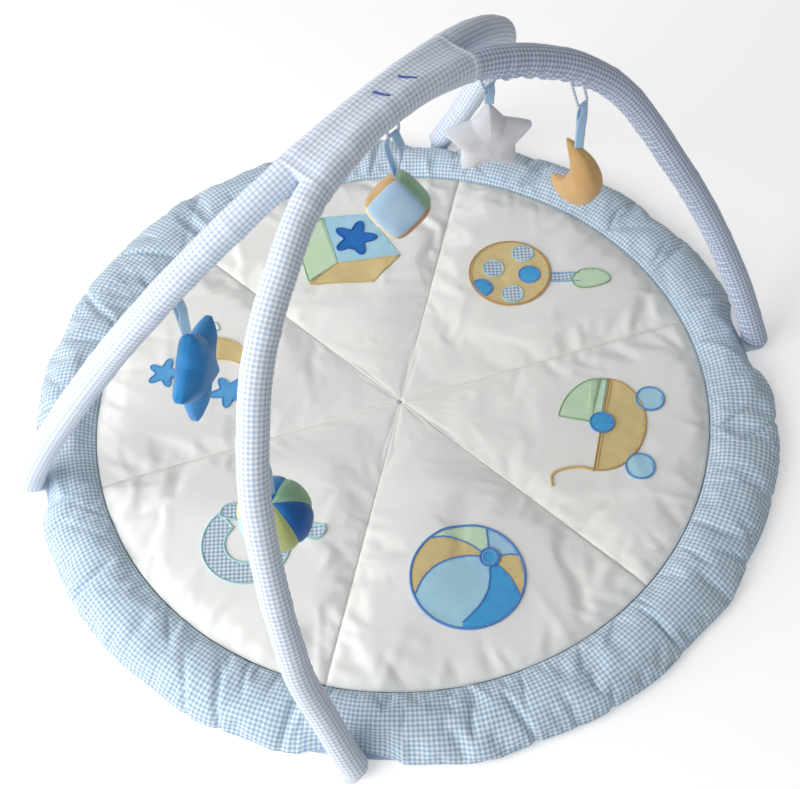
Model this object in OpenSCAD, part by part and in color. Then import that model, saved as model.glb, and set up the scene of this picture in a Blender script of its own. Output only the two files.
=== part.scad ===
// Activity play gym: a round quilted mat, two padded arches that lean together under one top sleeve,
// and five soft toys that hang from the arches on ribbons.
// The origin is the middle of the mat on the floor, +Z is up and +X runs along the top sleeve.

/* [Mat] */
// Outside diameter of the padded mat
mat_d = 892; // [800:1:1000]
// Width of the gathered border
border_w = 73; // [55:1:90]
// Height of the border's crown above the backing
border_crown = 31; // [26:0.5:40]
// Thickness of the backing cloth
backing_t = 1.6; // [1:0.1:2.4]
// Distance that the backing stays inside the border's edge
backing_inset = 6; // [4:0.5:10]
// Thickness of the wadding disc under the panels
wadding_t = 16; // [10:0.5:18]
// Thickness of a quilted panel at its seams
panel_edge_t = 2.5; // [1.5:0.1:4]
// Rise of a quilted panel above its seams
panel_crown = 8; // [4:0.5:12]
// Distance over which a panel rolls down to the border
edge_roll = 30; // [15:1:45]
// Radius from which a panel is flat on top
plateau_in = 115; // [90:1:140]
// Gap at a sewn seam
seam_gap = 0.4; // [0.2:0.1:0.8]
// Number of gathers round the border
gather_count = 36; // [20:4:36]
// Height of a gather
gather_depth = 1.8; // [0.6:0.1:2.6]
// Overall width of a motif
motif_size = 126; // [90:1:130]
// Thickness of a motif's felt
motif_t = 1; // [0.6:0.1:2]

/* [Arches] */
// Height of an arch's centre line at the top
arch_h = 516; // [480:1:560]
// Radius of an arch's top
arch_top_r = 320; // [300:1:335]
// Angle of the top radius on each side
arch_top_angle = 65; // [60:0.5:68]
// Distance between the two centre lines at the top
arch_spacing = 18; // [16:0.5:24]
// Angle of the feet from the line of the top sleeve
foot_angle = 35.7; // [33:0.1:38]
// Distance of a foot's centre outside the mat's edge
foot_reach = 10; // [8:0.5:16]
// Outside diameter of a padded leg
tube_d = 31; // [28:0.5:34]
// Thickness of the leg's cloth
sleeve_t = 1.1; // [0.8:0.1:1.6]
// Diameter of the rod inside a leg
rod_d = 10; // [8:0.5:11]
// Length of the ferrule that joins two rods
ferrule_len = 60; // [40:1:90]
// Wall of the ferrule
ferrule_wall = 1.5; // [1:0.1:2]
// Length of the cap on a rod's end
cap_len = 14; // [10:0.5:20]
// Wall of the cap
cap_wall = 2; // [1.2:0.1:3]
// Length of the top sleeve along the arch
connector_len = 212; // [160:1:240]
// Clearance of a piece inside its cover
fit_clearance = 0.15; // [0.05:0.05:0.3]

/* [Foot fastening] */
// Width of a foot tab
tab_w = 24; // [20:0.5:30]
// Thickness of a foot tab
tab_t = 2; // [1.4:0.1:3]
// Diameter of a press stud
snap_d = 12; // [10:0.5:16]
// Height of each half of a press stud
snap_h = 2; // [1.5:0.1:3]
// Diameter of the barrel through the tab
snap_barrel_d = 7.4; // [6.6:0.1:8.5]
// Diameter of the stud's pin
snap_pin_d = 5; // [3.5:0.1:5.4]
// Radial clearance of the pin in its socket
snap_clearance = 0.1; // [0.05:0.01:0.15]

/* [Hanging loops] */
// Thickness of the cloth tie that holds a ribbon
tie_d = 3.6; // [3:0.1:4.4]
// Drop of a tie where the arch is nearly level
tie_drop_level = 12; // [10:0.5:18]
// Drop of a tie where the arch is steep
tie_drop_steep = 20; // [18:0.5:24]
// Width of a ribbon
ribbon_w = 10; // [8:0.5:12]
// Thickness of a ribbon
ribbon_t = 0.8; // [0.5:0.1:1.2]
// Length at a ribbon's end that is sewn together
ribbon_sewn = 6; // [4:0.5:9]
// Side clearance of a ribbon between the legs of its tie
ribbon_side = 0.8; // [0.4:0.1:1.5]
// Radial clearance of a ribbon on its tie
loop_clearance = 0.05; // [0.02:0.01:0.1]
// Gap between a ribbon and its toy
toy_gap = 0.3; // [0.2:0.1:0.8]

/* [Toys] */
// Diameter of the ball
ball_d = 77; // [60:1:80]
// Length of the ball's ribbon below its tie
ball_ribbon = 58; // [50:1:70]
// Place of the ball, as an angle along its arch
ball_angle = -65; // [-66:0.5:-60]
// Radius of the white star to a point
white_star_r = 48; // [40:0.5:54]
// Radius of the blue star to a point
blue_star_r = 60; // [50:0.5:64]
// Thickness of the stars
star_t = 35; // [26:0.5:40]
// Length of the blue star's ribbon below its tie
blue_ribbon = 52; // [44:1:70]
// Place of the blue star
blue_angle = -48; // [-54:0.5:-42]
// Length of the white star's ribbon below its tie
white_ribbon = 22; // [18:1:40]
// Place of the white star
white_angle = 24; // [23:0.5:30]
// Edge of the cube
cube_edge = 56; // [44:0.5:60]
// Length of the cube's ribbon below its tie
cube_ribbon = 56; // [40:1:70]
// Place of the cube
cube_angle = 0; // [-3:0.5:3]
// Radius of the moon to its back
moon_r = 47; // [42:0.5:52]
// Width of the moon at its middle
moon_w = 39; // [29:0.5:42]
// Thickness of the moon
moon_t = 38; // [30:0.5:40]
// Length of the moon's ribbon below its tie
moon_ribbon = 64; // [54:1:80]
// Place of the moon
moon_angle = 50; // [46:0.5:54]
// Thickness of the ball's cloth
cover_t = 1.5; // [1:0.1:2.5]

/* [Hidden] */
$fn = 96;
FRONT = -1;
BACK = 1;
LEFT = -1;
RIGHT = 1;
panel_count = 6;
panel_half = 180 / panel_count;
far = 1200;

// Heights of the mat's layers
mat_r = mat_d / 2;
middle_r = mat_r - border_w;
backing_r = mat_r - backing_inset;
wadding_top = backing_t + wadding_t;
panel_top = wadding_top + panel_edge_t + panel_crown;
plateau_out = middle_r - edge_roll;
motif_r = (plateau_in + plateau_out) / 2 + 20;

// Foot of an arch, at the height where the leg is cut flat
foot_z = tab_t + 2 * snap_h + 0.2;
foot_r = mat_r + foot_reach;
foot_x = foot_r * cos(foot_angle);
foot_y = foot_r * sin(foot_angle);

// An arch lies in a plane that leans by arch_lean: u runs along +X, v runs up the plane from the apex
half_gap = arch_spacing / 2;
arch_lean = atan((foot_y - half_gap) / (arch_h - foot_z));
foot_v = -(arch_h - foot_z) / cos(arch_lean);
top_end = [arch_top_r * sin(arch_top_angle), arch_top_r * (cos(arch_top_angle) - 1)];
inward = [-sin(arch_top_angle), -cos(arch_top_angle)];
leg_span = [foot_x, foot_v] - top_end;
leg_r = (leg_span * leg_span) / (2 * (leg_span * inward));
leg_turn = 2 * asin(norm(leg_span) / (2 * leg_r));
leg_centre = top_end + leg_r * inward;
degrees_per_mm = 180 / (PI * leg_r);
cut_reach = 24 * degrees_per_mm;

// Smoothness of a bent bar, and the low band where its two radii meet
arc_steps = 600;
bar_sides = 64;
band_rise = 0.2;
band_room = 5;

// Diameters from the rod outwards
padding_d = tube_d - 2 * sleeve_t - 2 * fit_clearance;
connector_ease = 0.5;
connector_d = padding_d + 2 * connector_ease + 2 * sleeve_t;
connector_angle = connector_len / 2 * 180 / (PI * arch_top_r);
ferrule_angle = ferrule_len / 2 * 180 / (PI * arch_top_r);
ferrule_d = rod_d + 2 * fit_clearance + 2 * ferrule_wall;
cap_d = rod_d + 2 * fit_clearance + 2 * cap_wall;
cap_end = 10;
cap_floor = 3;

// Dent that each foot presses into the border
lean_rate = tan(arch_lean) * sin(foot_angle);
dent = max(0, tube_d / 2 - foot_reach + border_crown * lean_rate);
dent_w = 3.6 * tube_d / 2;

function flat(rows) = [for (row = rows, p = row) p];

// Point on an arch at an angle from the apex, moved by off towards the inside of the bend
function top_point(side, angle, off = 0) = let (
    u = (arch_top_r - off) * sin(angle),
    v = (arch_top_r - off) * cos(angle) - arch_top_r
  ) [u, side * (half_gap - v * sin(arch_lean)), arch_h + v * cos(arch_lean)];

// Middle of the tie bar that a toy's ribbon turns on
function tie_drop(angle) = abs(angle) > 35 ? tie_drop_steep : tie_drop_level;
function tie_bar(side, angle) = top_point(side, angle, tube_d / 2) - [0, 0, tie_drop(angle)];

// Faces of a grid of rows between two end points, each row turning left seen from the first point
function capped_faces(m, n) = concat(
    [for (j = [0:n - 1]) [0, 1 + (j + 1) % n, 1 + j]],
    [for (i = [0:m - 2], j = [0:n - 1], k = [0, 1]) let (
      a = 1 + i * n + j,
      b = 1 + i * n + (j + 1) % n
    ) k == 0 ? [a, b, a + n] : [b, b + n, a + n]],
    [for (j = [0:n - 1]) [m * n + 1, (m - 1) * n + 1 + j, (m - 1) * n + 1 + (j + 1) % n]]
  );

// Faces of a grid of rows that closes on itself both ways
function ring_faces(m, n) = [for (i = [0:m - 1], j = [0:n - 1], k = [0, 1]) let (
    a = i * n + j,
    b = i * n + (j + 1) % n,
    c = ((i + 1) % m) * n + j,
    d = ((i + 1) % m) * n + (j + 1) % n
  ) k == 0 ? [a, c, b] : [b, c, d]];

module capped_form(first, rows, last) {
  polyhedron(concat([first], flat(rows), [last]), capped_faces(len(rows), len(rows[0])), 4);
}

module ring_form(rows) {
  polyhedron(flat(rows), ring_faces(len(rows), len(rows[0])), 4);
}

// Mat

module mat_backing() {
  color("lightsteelblue")
    cylinder(h = backing_t, r = backing_r);
}

module mat_wadding() {
  color("white")
    translate([0, 0, backing_t])
      cylinder(h = wadding_t, r = middle_r - seam_gap);
}

// Rise of a panel, as a share of its crown, along its radius and across its width
panel_radii = [12, 40, 75, plateau_in, plateau_out, plateau_out + 0.6 * edge_roll, middle_r - 2 * seam_gap];
panel_rise = [0.12, 0.45, 0.8, 1, 1, 0.72, 0];
panel_side = [1, 0.94, 0.83, 0.69, 0.46, 0.23, 0, -0.23, -0.46, -0.69, -0.83, -0.94, -1];
panel_side_rise = [0, 0.5, 0.87, 1, 1, 1, 1, 1, 1, 1, 0.87, 0.5, 0];

module mat_panel(index) {
  count = len(panel_side);
  rows = [for (i = [0:len(panel_radii) - 1]) let (r = panel_radii[i]) concat(
      [for (j = [count - 1:-1:0])
        [r * cos(panel_half * panel_side[j]), r * sin(panel_half * panel_side[j]),
          panel_edge_t + panel_crown * panel_rise[i] * panel_side_rise[j]]],
      [for (j = [0:count - 1])
        [r * cos(panel_half * panel_side[j]), r * sin(panel_half * panel_side[j]), 0]]
    )];
  last_r = panel_radii[len(panel_radii) - 1];
  color("ivory")
    rotate(2 * panel_half * index)
      translate([seam_gap, 0, wadding_top])
        capped_form([4, 0, panel_edge_t / 2], rows, [last_r * cos(panel_half / 2), 0, panel_edge_t / 2]);
}

// Border section from its inner foot over the crown to its outer foot: reach, height, gather and dent shares
border_section = [
  [0, 0, 0, 0],
  [0, 0.59, 0.1, 0],
  [0.19, 0.87, 1, 0],
  [0.47, 1, 1, 0],
  [0.74, 0.9, 1, 0.35],
  [0.93, 0.58, 0.7, 0.9],
  [1, 0.28, 0.3, 1],
  [0.905, 0, 0, 1]
];

// Angle from a place on the rim to the nearest foot
function foot_turn(angle) = let (quarter = abs(((angle + 540) % 360) - 180))
  min(abs(quarter - foot_angle), abs(180 - quarter - foot_angle));
function dent_at(angle) = let (share = foot_turn(angle) * PI / 180 * mat_r / dent_w)
  share < 1 ? dent * pow(cos(90 * share), 0.7) : 0;

module mat_border() {
  steps = 4 * gather_count;
  rows = [for (i = [0:steps - 1]) let (
      angle = (i + 0.5) * 360 / steps,
      swell = gather_depth * cos(gather_count * angle) * (0.75 + 0.25 * cos(6 * angle)),
      press = dent_at(angle)
    ) [for (s = border_section) let (r = middle_r + border_w * s[0] - press * s[3])
      [r * cos(angle), r * sin(angle), backing_t + border_crown * s[1] + swell * s[2]]]];
  color("lightblue")
    ring_form(rows);
}

// Motifs, drawn round their own middle with +X away from the middle of the mat and a half width of 1

module on_panel(index) {
  rotate(2 * panel_half * index)
    translate([motif_r, 0, panel_top])
      linear_extrude(motif_t)
        scale(motif_size / 2)
          children();
}

module star_outline(r) {
  polygon([for (k = [0:9]) let (reach = k % 2 == 0 ? r : 0.52 * r) reach * [cos(36 * k), sin(36 * k)]]);
}

module motif_rattle() {
  handle_turn = -53;
  color("tan")
    on_panel(0)
      translate([-0.28, 0.38]) {
        circle(0.84);
        rotate(handle_turn)
          translate([0.8, -0.07])
            square([0.6, 0.14]);
        rotate(handle_turn)
          translate([1.34, -0.2])
            square([0.4, 0.4]);
      }
}

module motif_block() {
  color("palegreen")
    on_panel(1)
      polygon([[0.97, 0.11], [0.67, -0.83], [-0.59, -1.02], [-1.1, -0.46], [-0.67, 0.87], [0.59, 0.9]]);
}

module motif_moon() {
  color("khaki")
    on_panel(2) {
      translate([-0.3, 0.02])
        difference() {
          circle(0.75);
          translate([0, 0.28])
            circle(0.64);
        }
      translate([0.75, 0.28])
        star_outline(0.27);
      translate([-0.58, 0.46])
        star_outline(0.25);
    }
}

module motif_dummy() {
  color("lightblue")
    on_panel(3) {
      translate([0.24, 0.02])
        difference() {
          circle(0.84);
          circle(0.44);
        }
      translate([-0.95, -0.3])
        square([0.32, 0.9]);
    }
}

module motif_ball() {
  color("skyblue")
    on_panel(4)
      circle(1);
}

module motif_pram() {
  hub = [-0.1, 0.16];
  wheel_r = 0.22;
  body_r = 0.98;
  color("burlywood")
    on_panel(5)
      translate(hub) {
        intersection() {
          circle(body_r);
          translate([0, -body_r])
            square([body_r, 2 * body_r]);
        }
        intersection() {
          circle(0.86 * body_r);
          translate([-body_r, 0])
            square([body_r + 0.01, body_r]);
        }
        for (turn = [-44, 40])
          rotate(turn)
            translate([body_r + wheel_r, 0])
              circle(wheel_r);
      }
}

// Foot tabs and press studs

module at_feet() {
  for (side = [FRONT, BACK], hand = [LEFT, RIGHT])
    translate([hand * foot_x, side * foot_y, 0])
      children();
}

module foot_tab(side, hand) {
  color("aliceblue")
    difference() {
      rotate(atan2(side * foot_y, hand * foot_x)) {
        translate([backing_r - tab_w, -tab_w / 2, 0])
          cube([foot_r - backing_r + tab_w, tab_w, tab_t]);
        translate([foot_r, 0, 0])
          cylinder(h = tab_t, d = tab_w);
      }
      translate([0, 0, -1])
        cylinder(h = tab_t + 2, r = backing_r);
      translate([hand * foot_x, side * foot_y, -1])
        cylinder(h = tab_t + 2, d = snap_barrel_d + 2 * snap_clearance);
    }
}

module snap_sockets() {
  floor_t = 0.6;
  color("white")
    at_feet()
      difference() {
        union() {
          translate([0, 0, floor_t / 2])
            cylinder(h = tab_t, d = snap_barrel_d);
          translate([0, 0, tab_t])
            cylinder(h = snap_h, d = snap_d);
        }
        translate([0, 0, floor_t])
          cylinder(h = tab_t + snap_h, r = snap_pin_d / 2 + snap_clearance);
      }
}

module snap_studs() {
  pin_start = 1;
  color("white")
    at_feet() {
      translate([0, 0, foot_z - snap_h])
        cylinder(h = snap_h, d = snap_d);
      translate([0, 0, pin_start])
        cylinder(h = foot_z - snap_h - pin_start + 0.1, d = snap_pin_d);
    }
}

// Arches

module in_arch(side) {
  if (side == FRONT)
    translate([0, -half_gap, arch_h])
      rotate([90 - arch_lean, 0, 0])
        children();
  else
    mirror([0, 1, 0])
      in_arch(FRONT)
        children();
}

module on_hand(hand) {
  if (hand == RIGHT)
    children();
  else
    mirror([1, 0, 0])
      children();
}

// Round bar along an arc, from one angle to another measured from straight up
module arc_bar(r, from, to, d) {
  rotate(90 - to)
    rotate_extrude(angle = to - from, $fn = arc_steps)
      translate([r, 0])
        circle(d = d, $fn = bar_sides);
}

module top_bar(from, to, d) {
  translate([0, -arch_top_r])
    arc_bar(arch_top_r, from, to, d);
}

module leg_bar(from, to, d) {
  translate(leg_centre)
    arc_bar(leg_r, arch_top_angle + from, arch_top_angle + to, d);
}

// Half an arch as a solid bar, from an angle at the top to an angle past the start of the leg.
// A low band of length band_len covers the place where the two radii meet.
module half_bar(side, hand, from, to, d, band_len = 4) {
  in_arch(side)
    on_hand(hand) {
      top_bar(from, arch_top_angle, d);
      leg_bar(0, to, d);
      translate(top_end)
        rotate(-arch_top_angle)
          rotate([0, 90, 0])
            cylinder(h = band_len, d = d + 2 * band_rise, center = true);
    }
}

module above(z) {
  translate([-far, -far, z])
    cube(2 * far);
}

// Space on one side of the top sleeve's end, at a distance past it
module past_connector(hand, gap) {
  end = top_point(FRONT, connector_angle);
  slope = atan2(sin(connector_angle) * cos(arch_lean), cos(connector_angle));
  on_hand(hand)
    translate([end[0], 0, end[2]])
      rotate([0, slope, 0])
        translate([gap, -far, -far])
          cube(2 * far);
}

module leg_rod(side, hand) {
  color("whitesmoke")
    half_bar(side, hand, 0.05, leg_turn - (cap_end + cap_floor) * degrees_per_mm, rod_d);
}

module rod_ferrule(side) {
  color("silver")
    in_arch(side)
      translate([0, -arch_top_r])
        rotate(90 - ferrule_angle)
          rotate_extrude(angle = 2 * ferrule_angle, $fn = arc_steps)
            translate([arch_top_r, 0])
              difference() {
                circle(d = ferrule_d);
                circle(d = rod_d + 2 * fit_clearance);
              }
}

module rod_cap(side, hand) {
  color("dimgray")
    in_arch(side)
      on_hand(hand)
        difference() {
          leg_bar(leg_turn - (cap_end + cap_len) * degrees_per_mm, leg_turn - cap_end * degrees_per_mm, cap_d);
          leg_bar(leg_turn - (cap_end + 2 * cap_len) * degrees_per_mm,
            leg_turn - (cap_end + cap_floor - fit_clearance) * degrees_per_mm, rod_d + 2 * fit_clearance);
        }
}

module leg_padding(side, hand) {
  cap_room = cap_d + 2 * fit_clearance;
  cap_start = leg_turn - (cap_end + cap_len + fit_clearance) * degrees_per_mm;
  color("white")
    difference() {
      intersection() {
        half_bar(side, hand, 0.05, leg_turn + cut_reach, padding_d);
        above(foot_z + sleeve_t + fit_clearance);
        translate([-far, side == FRONT ? -2 * far - fit_clearance : fit_clearance, -far])
          cube(2 * far);
      }
      half_bar(side, hand, -1, leg_turn + 2 * cut_reach, rod_d + 2 * fit_clearance, band_room);
      in_arch(side)
        on_hand(hand) {
          top_bar(-1, ferrule_angle + 0.1, ferrule_d + 2 * fit_clearance);
          leg_bar(cap_start, leg_turn + 2 * cut_reach, cap_room);
        }
    }
}

module leg_sleeve(side, hand) {
  color("lavender")
    difference() {
      intersection() {
        half_bar(side, hand, connector_angle - 4, leg_turn + cut_reach, tube_d);
        above(foot_z);
        past_connector(hand, seam_gap);
      }
      intersection() {
        half_bar(side, hand, connector_angle - 6, leg_turn + 2 * cut_reach, tube_d - 2 * sleeve_t, band_room);
        above(foot_z + sleeve_t);
      }
    }
}

// Section of the top sleeve: two round sides, one round each arch, joined by flat cloth
function connector_row(angle, d, sides) = let (
    middle = top_point(BACK, angle),
    rise = [sin(angle) * cos(arch_lean), 0, cos(angle)],
    up = rise / norm(rise)
  ) [for (j = [0:sides - 1]) let (turn = (j + 0.5) * 360 / sides)
    [middle[0], 0, middle[2]]
    + [0, (cos(turn) > 0 ? 1 : -1) * middle[1] + d / 2 * cos(turn), 0]
    + d / 2 * sin(turn) * up];

module top_sleeve() {
  stations = 12;
  sides = 24;
  rows = concat(
    [for (i = [0:stations]) connector_row(connector_angle * (2 * i / stations - 1), connector_d, sides)],
    [for (i = [stations:-1:0])
      connector_row(connector_angle * (2 * i / stations - 1), connector_d - 2 * sleeve_t, sides)]
  );
  color("lightsteelblue")
    ring_form(rows);
}

// Ties and ribbons

module bar_between(from, to, d) {
  way = to - from;
  translate(from)
    rotate([0, acos(way[2] / norm(way)), atan2(way[1], way[0])])
      cylinder(h = norm(way), d = d);
}

module toy_tie(side, angle) {
  bar = tie_bar(side, angle);
  leg_out = ribbon_w / 2 + ribbon_side + tie_d / 2;
  cover_d = abs(angle) < connector_angle ? connector_d : tube_d;
  cover_hand = angle < 0 ? LEFT : RIGHT;
  color("lightsteelblue")
    difference() {
      union() {
        translate(bar - [leg_out, 0, 0])
          rotate([0, 90, 0])
            cylinder(h = 2 * leg_out, d = tie_d);
        for (end = [-1, 1]) {
          corner = bar + [end * leg_out, 0, 0];
          translate(corner)
            sphere(d = tie_d);
          bar_between(corner, top_point(side, asin(corner[0] / arch_top_r)), tie_d);
        }
      }
      half_bar(side, cover_hand, -5, leg_turn / 2, cover_d);
    }
}

module toy_ribbon(side, angle, length) {
  inner_r = tie_d / 2 + loop_clearance;
  outer_r = inner_r + ribbon_t;
  color("skyblue")
    translate(tie_bar(side, angle) - [ribbon_w / 2, 0, 0])
      rotate([90, 0, 90])
        linear_extrude(ribbon_w)
          difference() {
            union() {
              circle(outer_r);
              translate([-outer_r, -length])
                square([2 * outer_r, length]);
            }
            circle(inner_r);
            translate([-inner_r, ribbon_sewn - length])
              square([2 * inner_r, length - ribbon_sewn]);
          }
}

// Place of a toy's top, just under the end of its ribbon
module under_ribbon(side, angle, length, turn) {
  translate(tie_bar(side, angle) - [0, 0, length + toy_gap])
    rotate(turn)
      children();
}

// Toys

module ball_placed() {
  tip = 12;
  under_ribbon(FRONT, ball_angle, ball_ribbon, -37)
    translate([0, 0, -ball_d / 2])
      rotate([tip, 0, 0])
        children();
}

module ball_cover() {
  gores = 6;
  seam_turn = 0.8;
  pole_r = 0.6;
  color("steelblue")
    ball_placed()
      for (k = [0:gores - 1])
        rotate(360 / gores * k)
          rotate_extrude(angle = 360 / gores - seam_turn)
            intersection() {
              difference() {
                circle(d = ball_d);
                circle(d = ball_d - 2 * cover_t);
              }
              translate([pole_r, -ball_d])
                square(2 * ball_d);
            }
}

module ball_filling() {
  color("white")
    ball_placed()
      sphere(d = ball_d - 2 * cover_t - 2 * fit_clearance);
}

// Outline of a plump star, with a point at angle 0 and straight sides between its points and its waist
star_waist = 0.6;
star_tip = 0.06;
function star_reach(angle) = let (
    turn = abs((angle + 396) % 72 - 36),
    rise = star_waist * sin(36)
  ) rise / (sin(turn) * (1 - star_waist * cos(36)) + cos(turn) * rise) - star_tip * exp(-pow(turn / 6, 2));

// Plump star round its middle: share shrinks it, rings are its steps out from the middle of each face
module star_form(star_r, share, steps, rings) {
  both = concat(rings, [1], [for (i = [len(rings) - 1:-1:0]) rings[i]]);
  depth = share * star_t / 2;
  rows = [for (i = [0:len(both) - 1]) let (
      ring = both[i],
      puff = depth * sqrt(1 - ring * ring),
      y = i < len(rings) ? -puff : puff
    ) [for (j = [0:steps - 1]) let (
        angle = 360 * j / steps,
        r = share * star_r * ring * star_reach(angle) / (1 - star_tip)
      ) [-r * sin(angle), y, r * cos(angle)]]];
  capped_form([0, -depth, 0], rows, [0, depth, 0]);
}

outer_steps = 40;
inner_steps = 20;
outer_rings = [0.36, 0.72, 0.94];
inner_rings = [0.6];
cavity_share = 0.88;
filling_share = 0.86;

module star_shell(star_r) {
  difference() {
    star_form(star_r, 1, outer_steps, outer_rings);
    star_form(star_r, cavity_share, inner_steps, inner_rings);
  }
}

module star_stuffing(star_r) {
  star_form(star_r, filling_share, inner_steps, inner_rings);
}

module white_star_placed() {
  under_ribbon(FRONT, white_angle, white_ribbon, -40)
    translate([0, 0, -white_star_r])
      children();
}

module blue_star_placed() {
  under_ribbon(BACK, blue_angle, blue_ribbon, 31)
    translate([0, 0, -blue_star_r])
      children();
}

module white_star_cover() {
  color("whitesmoke")
    white_star_placed()
      star_shell(white_star_r);
}

module white_star_filling() {
  color("white")
    white_star_placed()
      star_stuffing(white_star_r);
}

module blue_star_cover() {
  color("steelblue")
    blue_star_placed()
      star_shell(blue_star_r);
}

module blue_star_filling() {
  color("white")
    blue_star_placed()
      star_stuffing(blue_star_r);
}

// Plump cube that stands on a corner
cube_roundness = 7;
cube_axes = [for (k = [0:2]) [sqrt(2 / 3) * cos(120 * k), sqrt(2 / 3) * sin(120 * k), sqrt(1 / 3)]];
function cube_reach(way) = let (parts = [for (axis = cube_axes) pow(abs(axis * way), cube_roundness)])
  cube_edge / 2 / pow(parts[0] + parts[1] + parts[2], 1 / cube_roundness);
cube_top = cube_reach([0, 0, 1]);

module cube_form(share, steps, tilts) {
  rows = [for (tilt = tilts) [for (j = [0:steps - 1]) let (
      angle = 360 * j / steps,
      way = [sin(tilt) * cos(angle), sin(tilt) * sin(angle), cos(tilt)]
    ) share * cube_reach(way) * way]];
  capped_form([0, 0, share * cube_top], rows, [0, 0, -share * cube_top]);
}

outer_tilts = [18, 36, 54.7, 70.5, 90, 109.5, 125.3, 144, 162];
inner_tilts = [35, 70.5, 109.5, 145];

module cube_placed() {
  under_ribbon(FRONT, cube_angle, cube_ribbon, -14)
    translate([0, 0, -cube_top])
      children();
}

module cube_cover() {
  color("lightskyblue")
    cube_placed()
      difference() {
        cube_form(1, 24, outer_tilts);
        cube_form(cavity_share, 12, inner_tilts);
      }
}

module cube_filling() {
  color("white")
    cube_placed()
      cube_form(filling_share, 12, inner_tilts);
}

// Plump crescent: its back faces to one side and a little down, and it hangs from beside its upper point
moon_back = -18;
moon_sweep = 112;
moon_hang = 0.8;
moon_middle = moon_r - moon_w / 2;
moon_point_out = 9;

function moon_ring(place, share, sides) = let (
    swell = share * pow(cos(90 * place), 0.62),
    way = moon_back + moon_sweep * place,
    middle = moon_middle + moon_point_out * place * place
  ) [for (j = [0:sides - 1]) let (turn = 360 * j / sides, r = middle + swell * moon_w / 2 * cos(turn))
    [r * cos(way), -swell * moon_t / 2 * sin(turn), r * sin(way)]];

function moon_tip(place) = let (
    way = moon_back + moon_sweep * place,
    middle = moon_middle + moon_point_out * place * place
  ) [middle * cos(way), 0, middle * sin(way)];

module moon_form(share, stations, sides) {
  reach = share < 1 ? 0.86 : 1;
  rows = [for (i = [1:stations - 1]) moon_ring(reach * (2 * i / stations - 1), share, sides)];
  capped_form(moon_tip(-reach), rows, moon_tip(reach));
}

module moon_placed() {
  hang = moon_ring(moon_hang, 1, 4)[0];
  top = max([for (k = [0:20]) moon_ring(0.6 + 0.02 * k, 1, 4)[0][2]]);
  under_ribbon(FRONT, moon_angle, moon_ribbon, -95)
    translate([-hang[0], 0, -top])
      children();
}

module moon_cover() {
  color("burlywood")
    moon_placed()
      difference() {
        moon_form(1, 18, 14);
        moon_form(cavity_share, 10, 8);
      }
}

module moon_filling() {
  color("white")
    moon_placed()
      moon_form(filling_share, 10, 8);
}

mat_backing();
mat_wadding();
mat_border();
mat_panel(0);  // mat_panel_1
mat_panel(1);  // mat_panel_2
mat_panel(2);  // mat_panel_3
mat_panel(3);  // mat_panel_4
mat_panel(4);  // mat_panel_5
mat_panel(5);  // mat_panel_6
motif_rattle();
motif_block();
motif_moon();
motif_dummy();
motif_ball();
motif_pram();
foot_tab(FRONT, LEFT);  // front_left_tab
foot_tab(FRONT, RIGHT);  // front_right_tab
foot_tab(BACK, LEFT);  // back_left_tab
foot_tab(BACK, RIGHT);  // back_right_tab
snap_sockets();
snap_studs();
leg_rod(FRONT, LEFT);  // front_left_rod
leg_rod(FRONT, RIGHT);  // front_right_rod
leg_rod(BACK, LEFT);  // back_left_rod
leg_rod(BACK, RIGHT);  // back_right_rod
rod_ferrule(FRONT);  // front_ferrule
rod_ferrule(BACK);  // back_ferrule
rod_cap(FRONT, LEFT);  // front_left_cap
rod_cap(FRONT, RIGHT);  // front_right_cap
rod_cap(BACK, LEFT);  // back_left_cap
rod_cap(BACK, RIGHT);  // back_right_cap
leg_padding(FRONT, LEFT);  // front_left_padding
leg_padding(FRONT, RIGHT);  // front_right_padding
leg_padding(BACK, LEFT);  // back_left_padding
leg_padding(BACK, RIGHT);  // back_right_padding
leg_sleeve(FRONT, LEFT);  // front_left_sleeve
leg_sleeve(FRONT, RIGHT);  // front_right_sleeve
leg_sleeve(BACK, LEFT);  // back_left_sleeve
leg_sleeve(BACK, RIGHT);  // back_right_sleeve
top_sleeve();
toy_tie(FRONT, ball_angle);  // ball_tie
toy_tie(BACK, blue_angle);  // blue_star_tie
toy_tie(FRONT, cube_angle);  // cube_tie
toy_tie(FRONT, white_angle);  // white_star_tie
toy_tie(FRONT, moon_angle);  // moon_tie
toy_ribbon(FRONT, ball_angle, ball_ribbon);  // ball_ribbon_loop
toy_ribbon(BACK, blue_angle, blue_ribbon);  // blue_star_ribbon_loop
toy_ribbon(FRONT, cube_angle, cube_ribbon);  // cube_ribbon_loop
toy_ribbon(FRONT, white_angle, white_ribbon);  // white_star_ribbon_loop
toy_ribbon(FRONT, moon_angle, moon_ribbon);  // moon_ribbon_loop
ball_cover();
ball_filling();
blue_star_cover();
blue_star_filling();
cube_cover();
cube_filling();
white_star_cover();
white_star_filling();
moon_cover();
moon_filling();
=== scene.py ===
"""Looks of the activity play gym: quilted mat, padded gingham arches and hanging soft toys."""
import math
import random

import bmesh
import bpy
from mathutils import Matrix, Quaternion, Vector, noise
from mathutils.bvhtree import BVHTree

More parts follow.
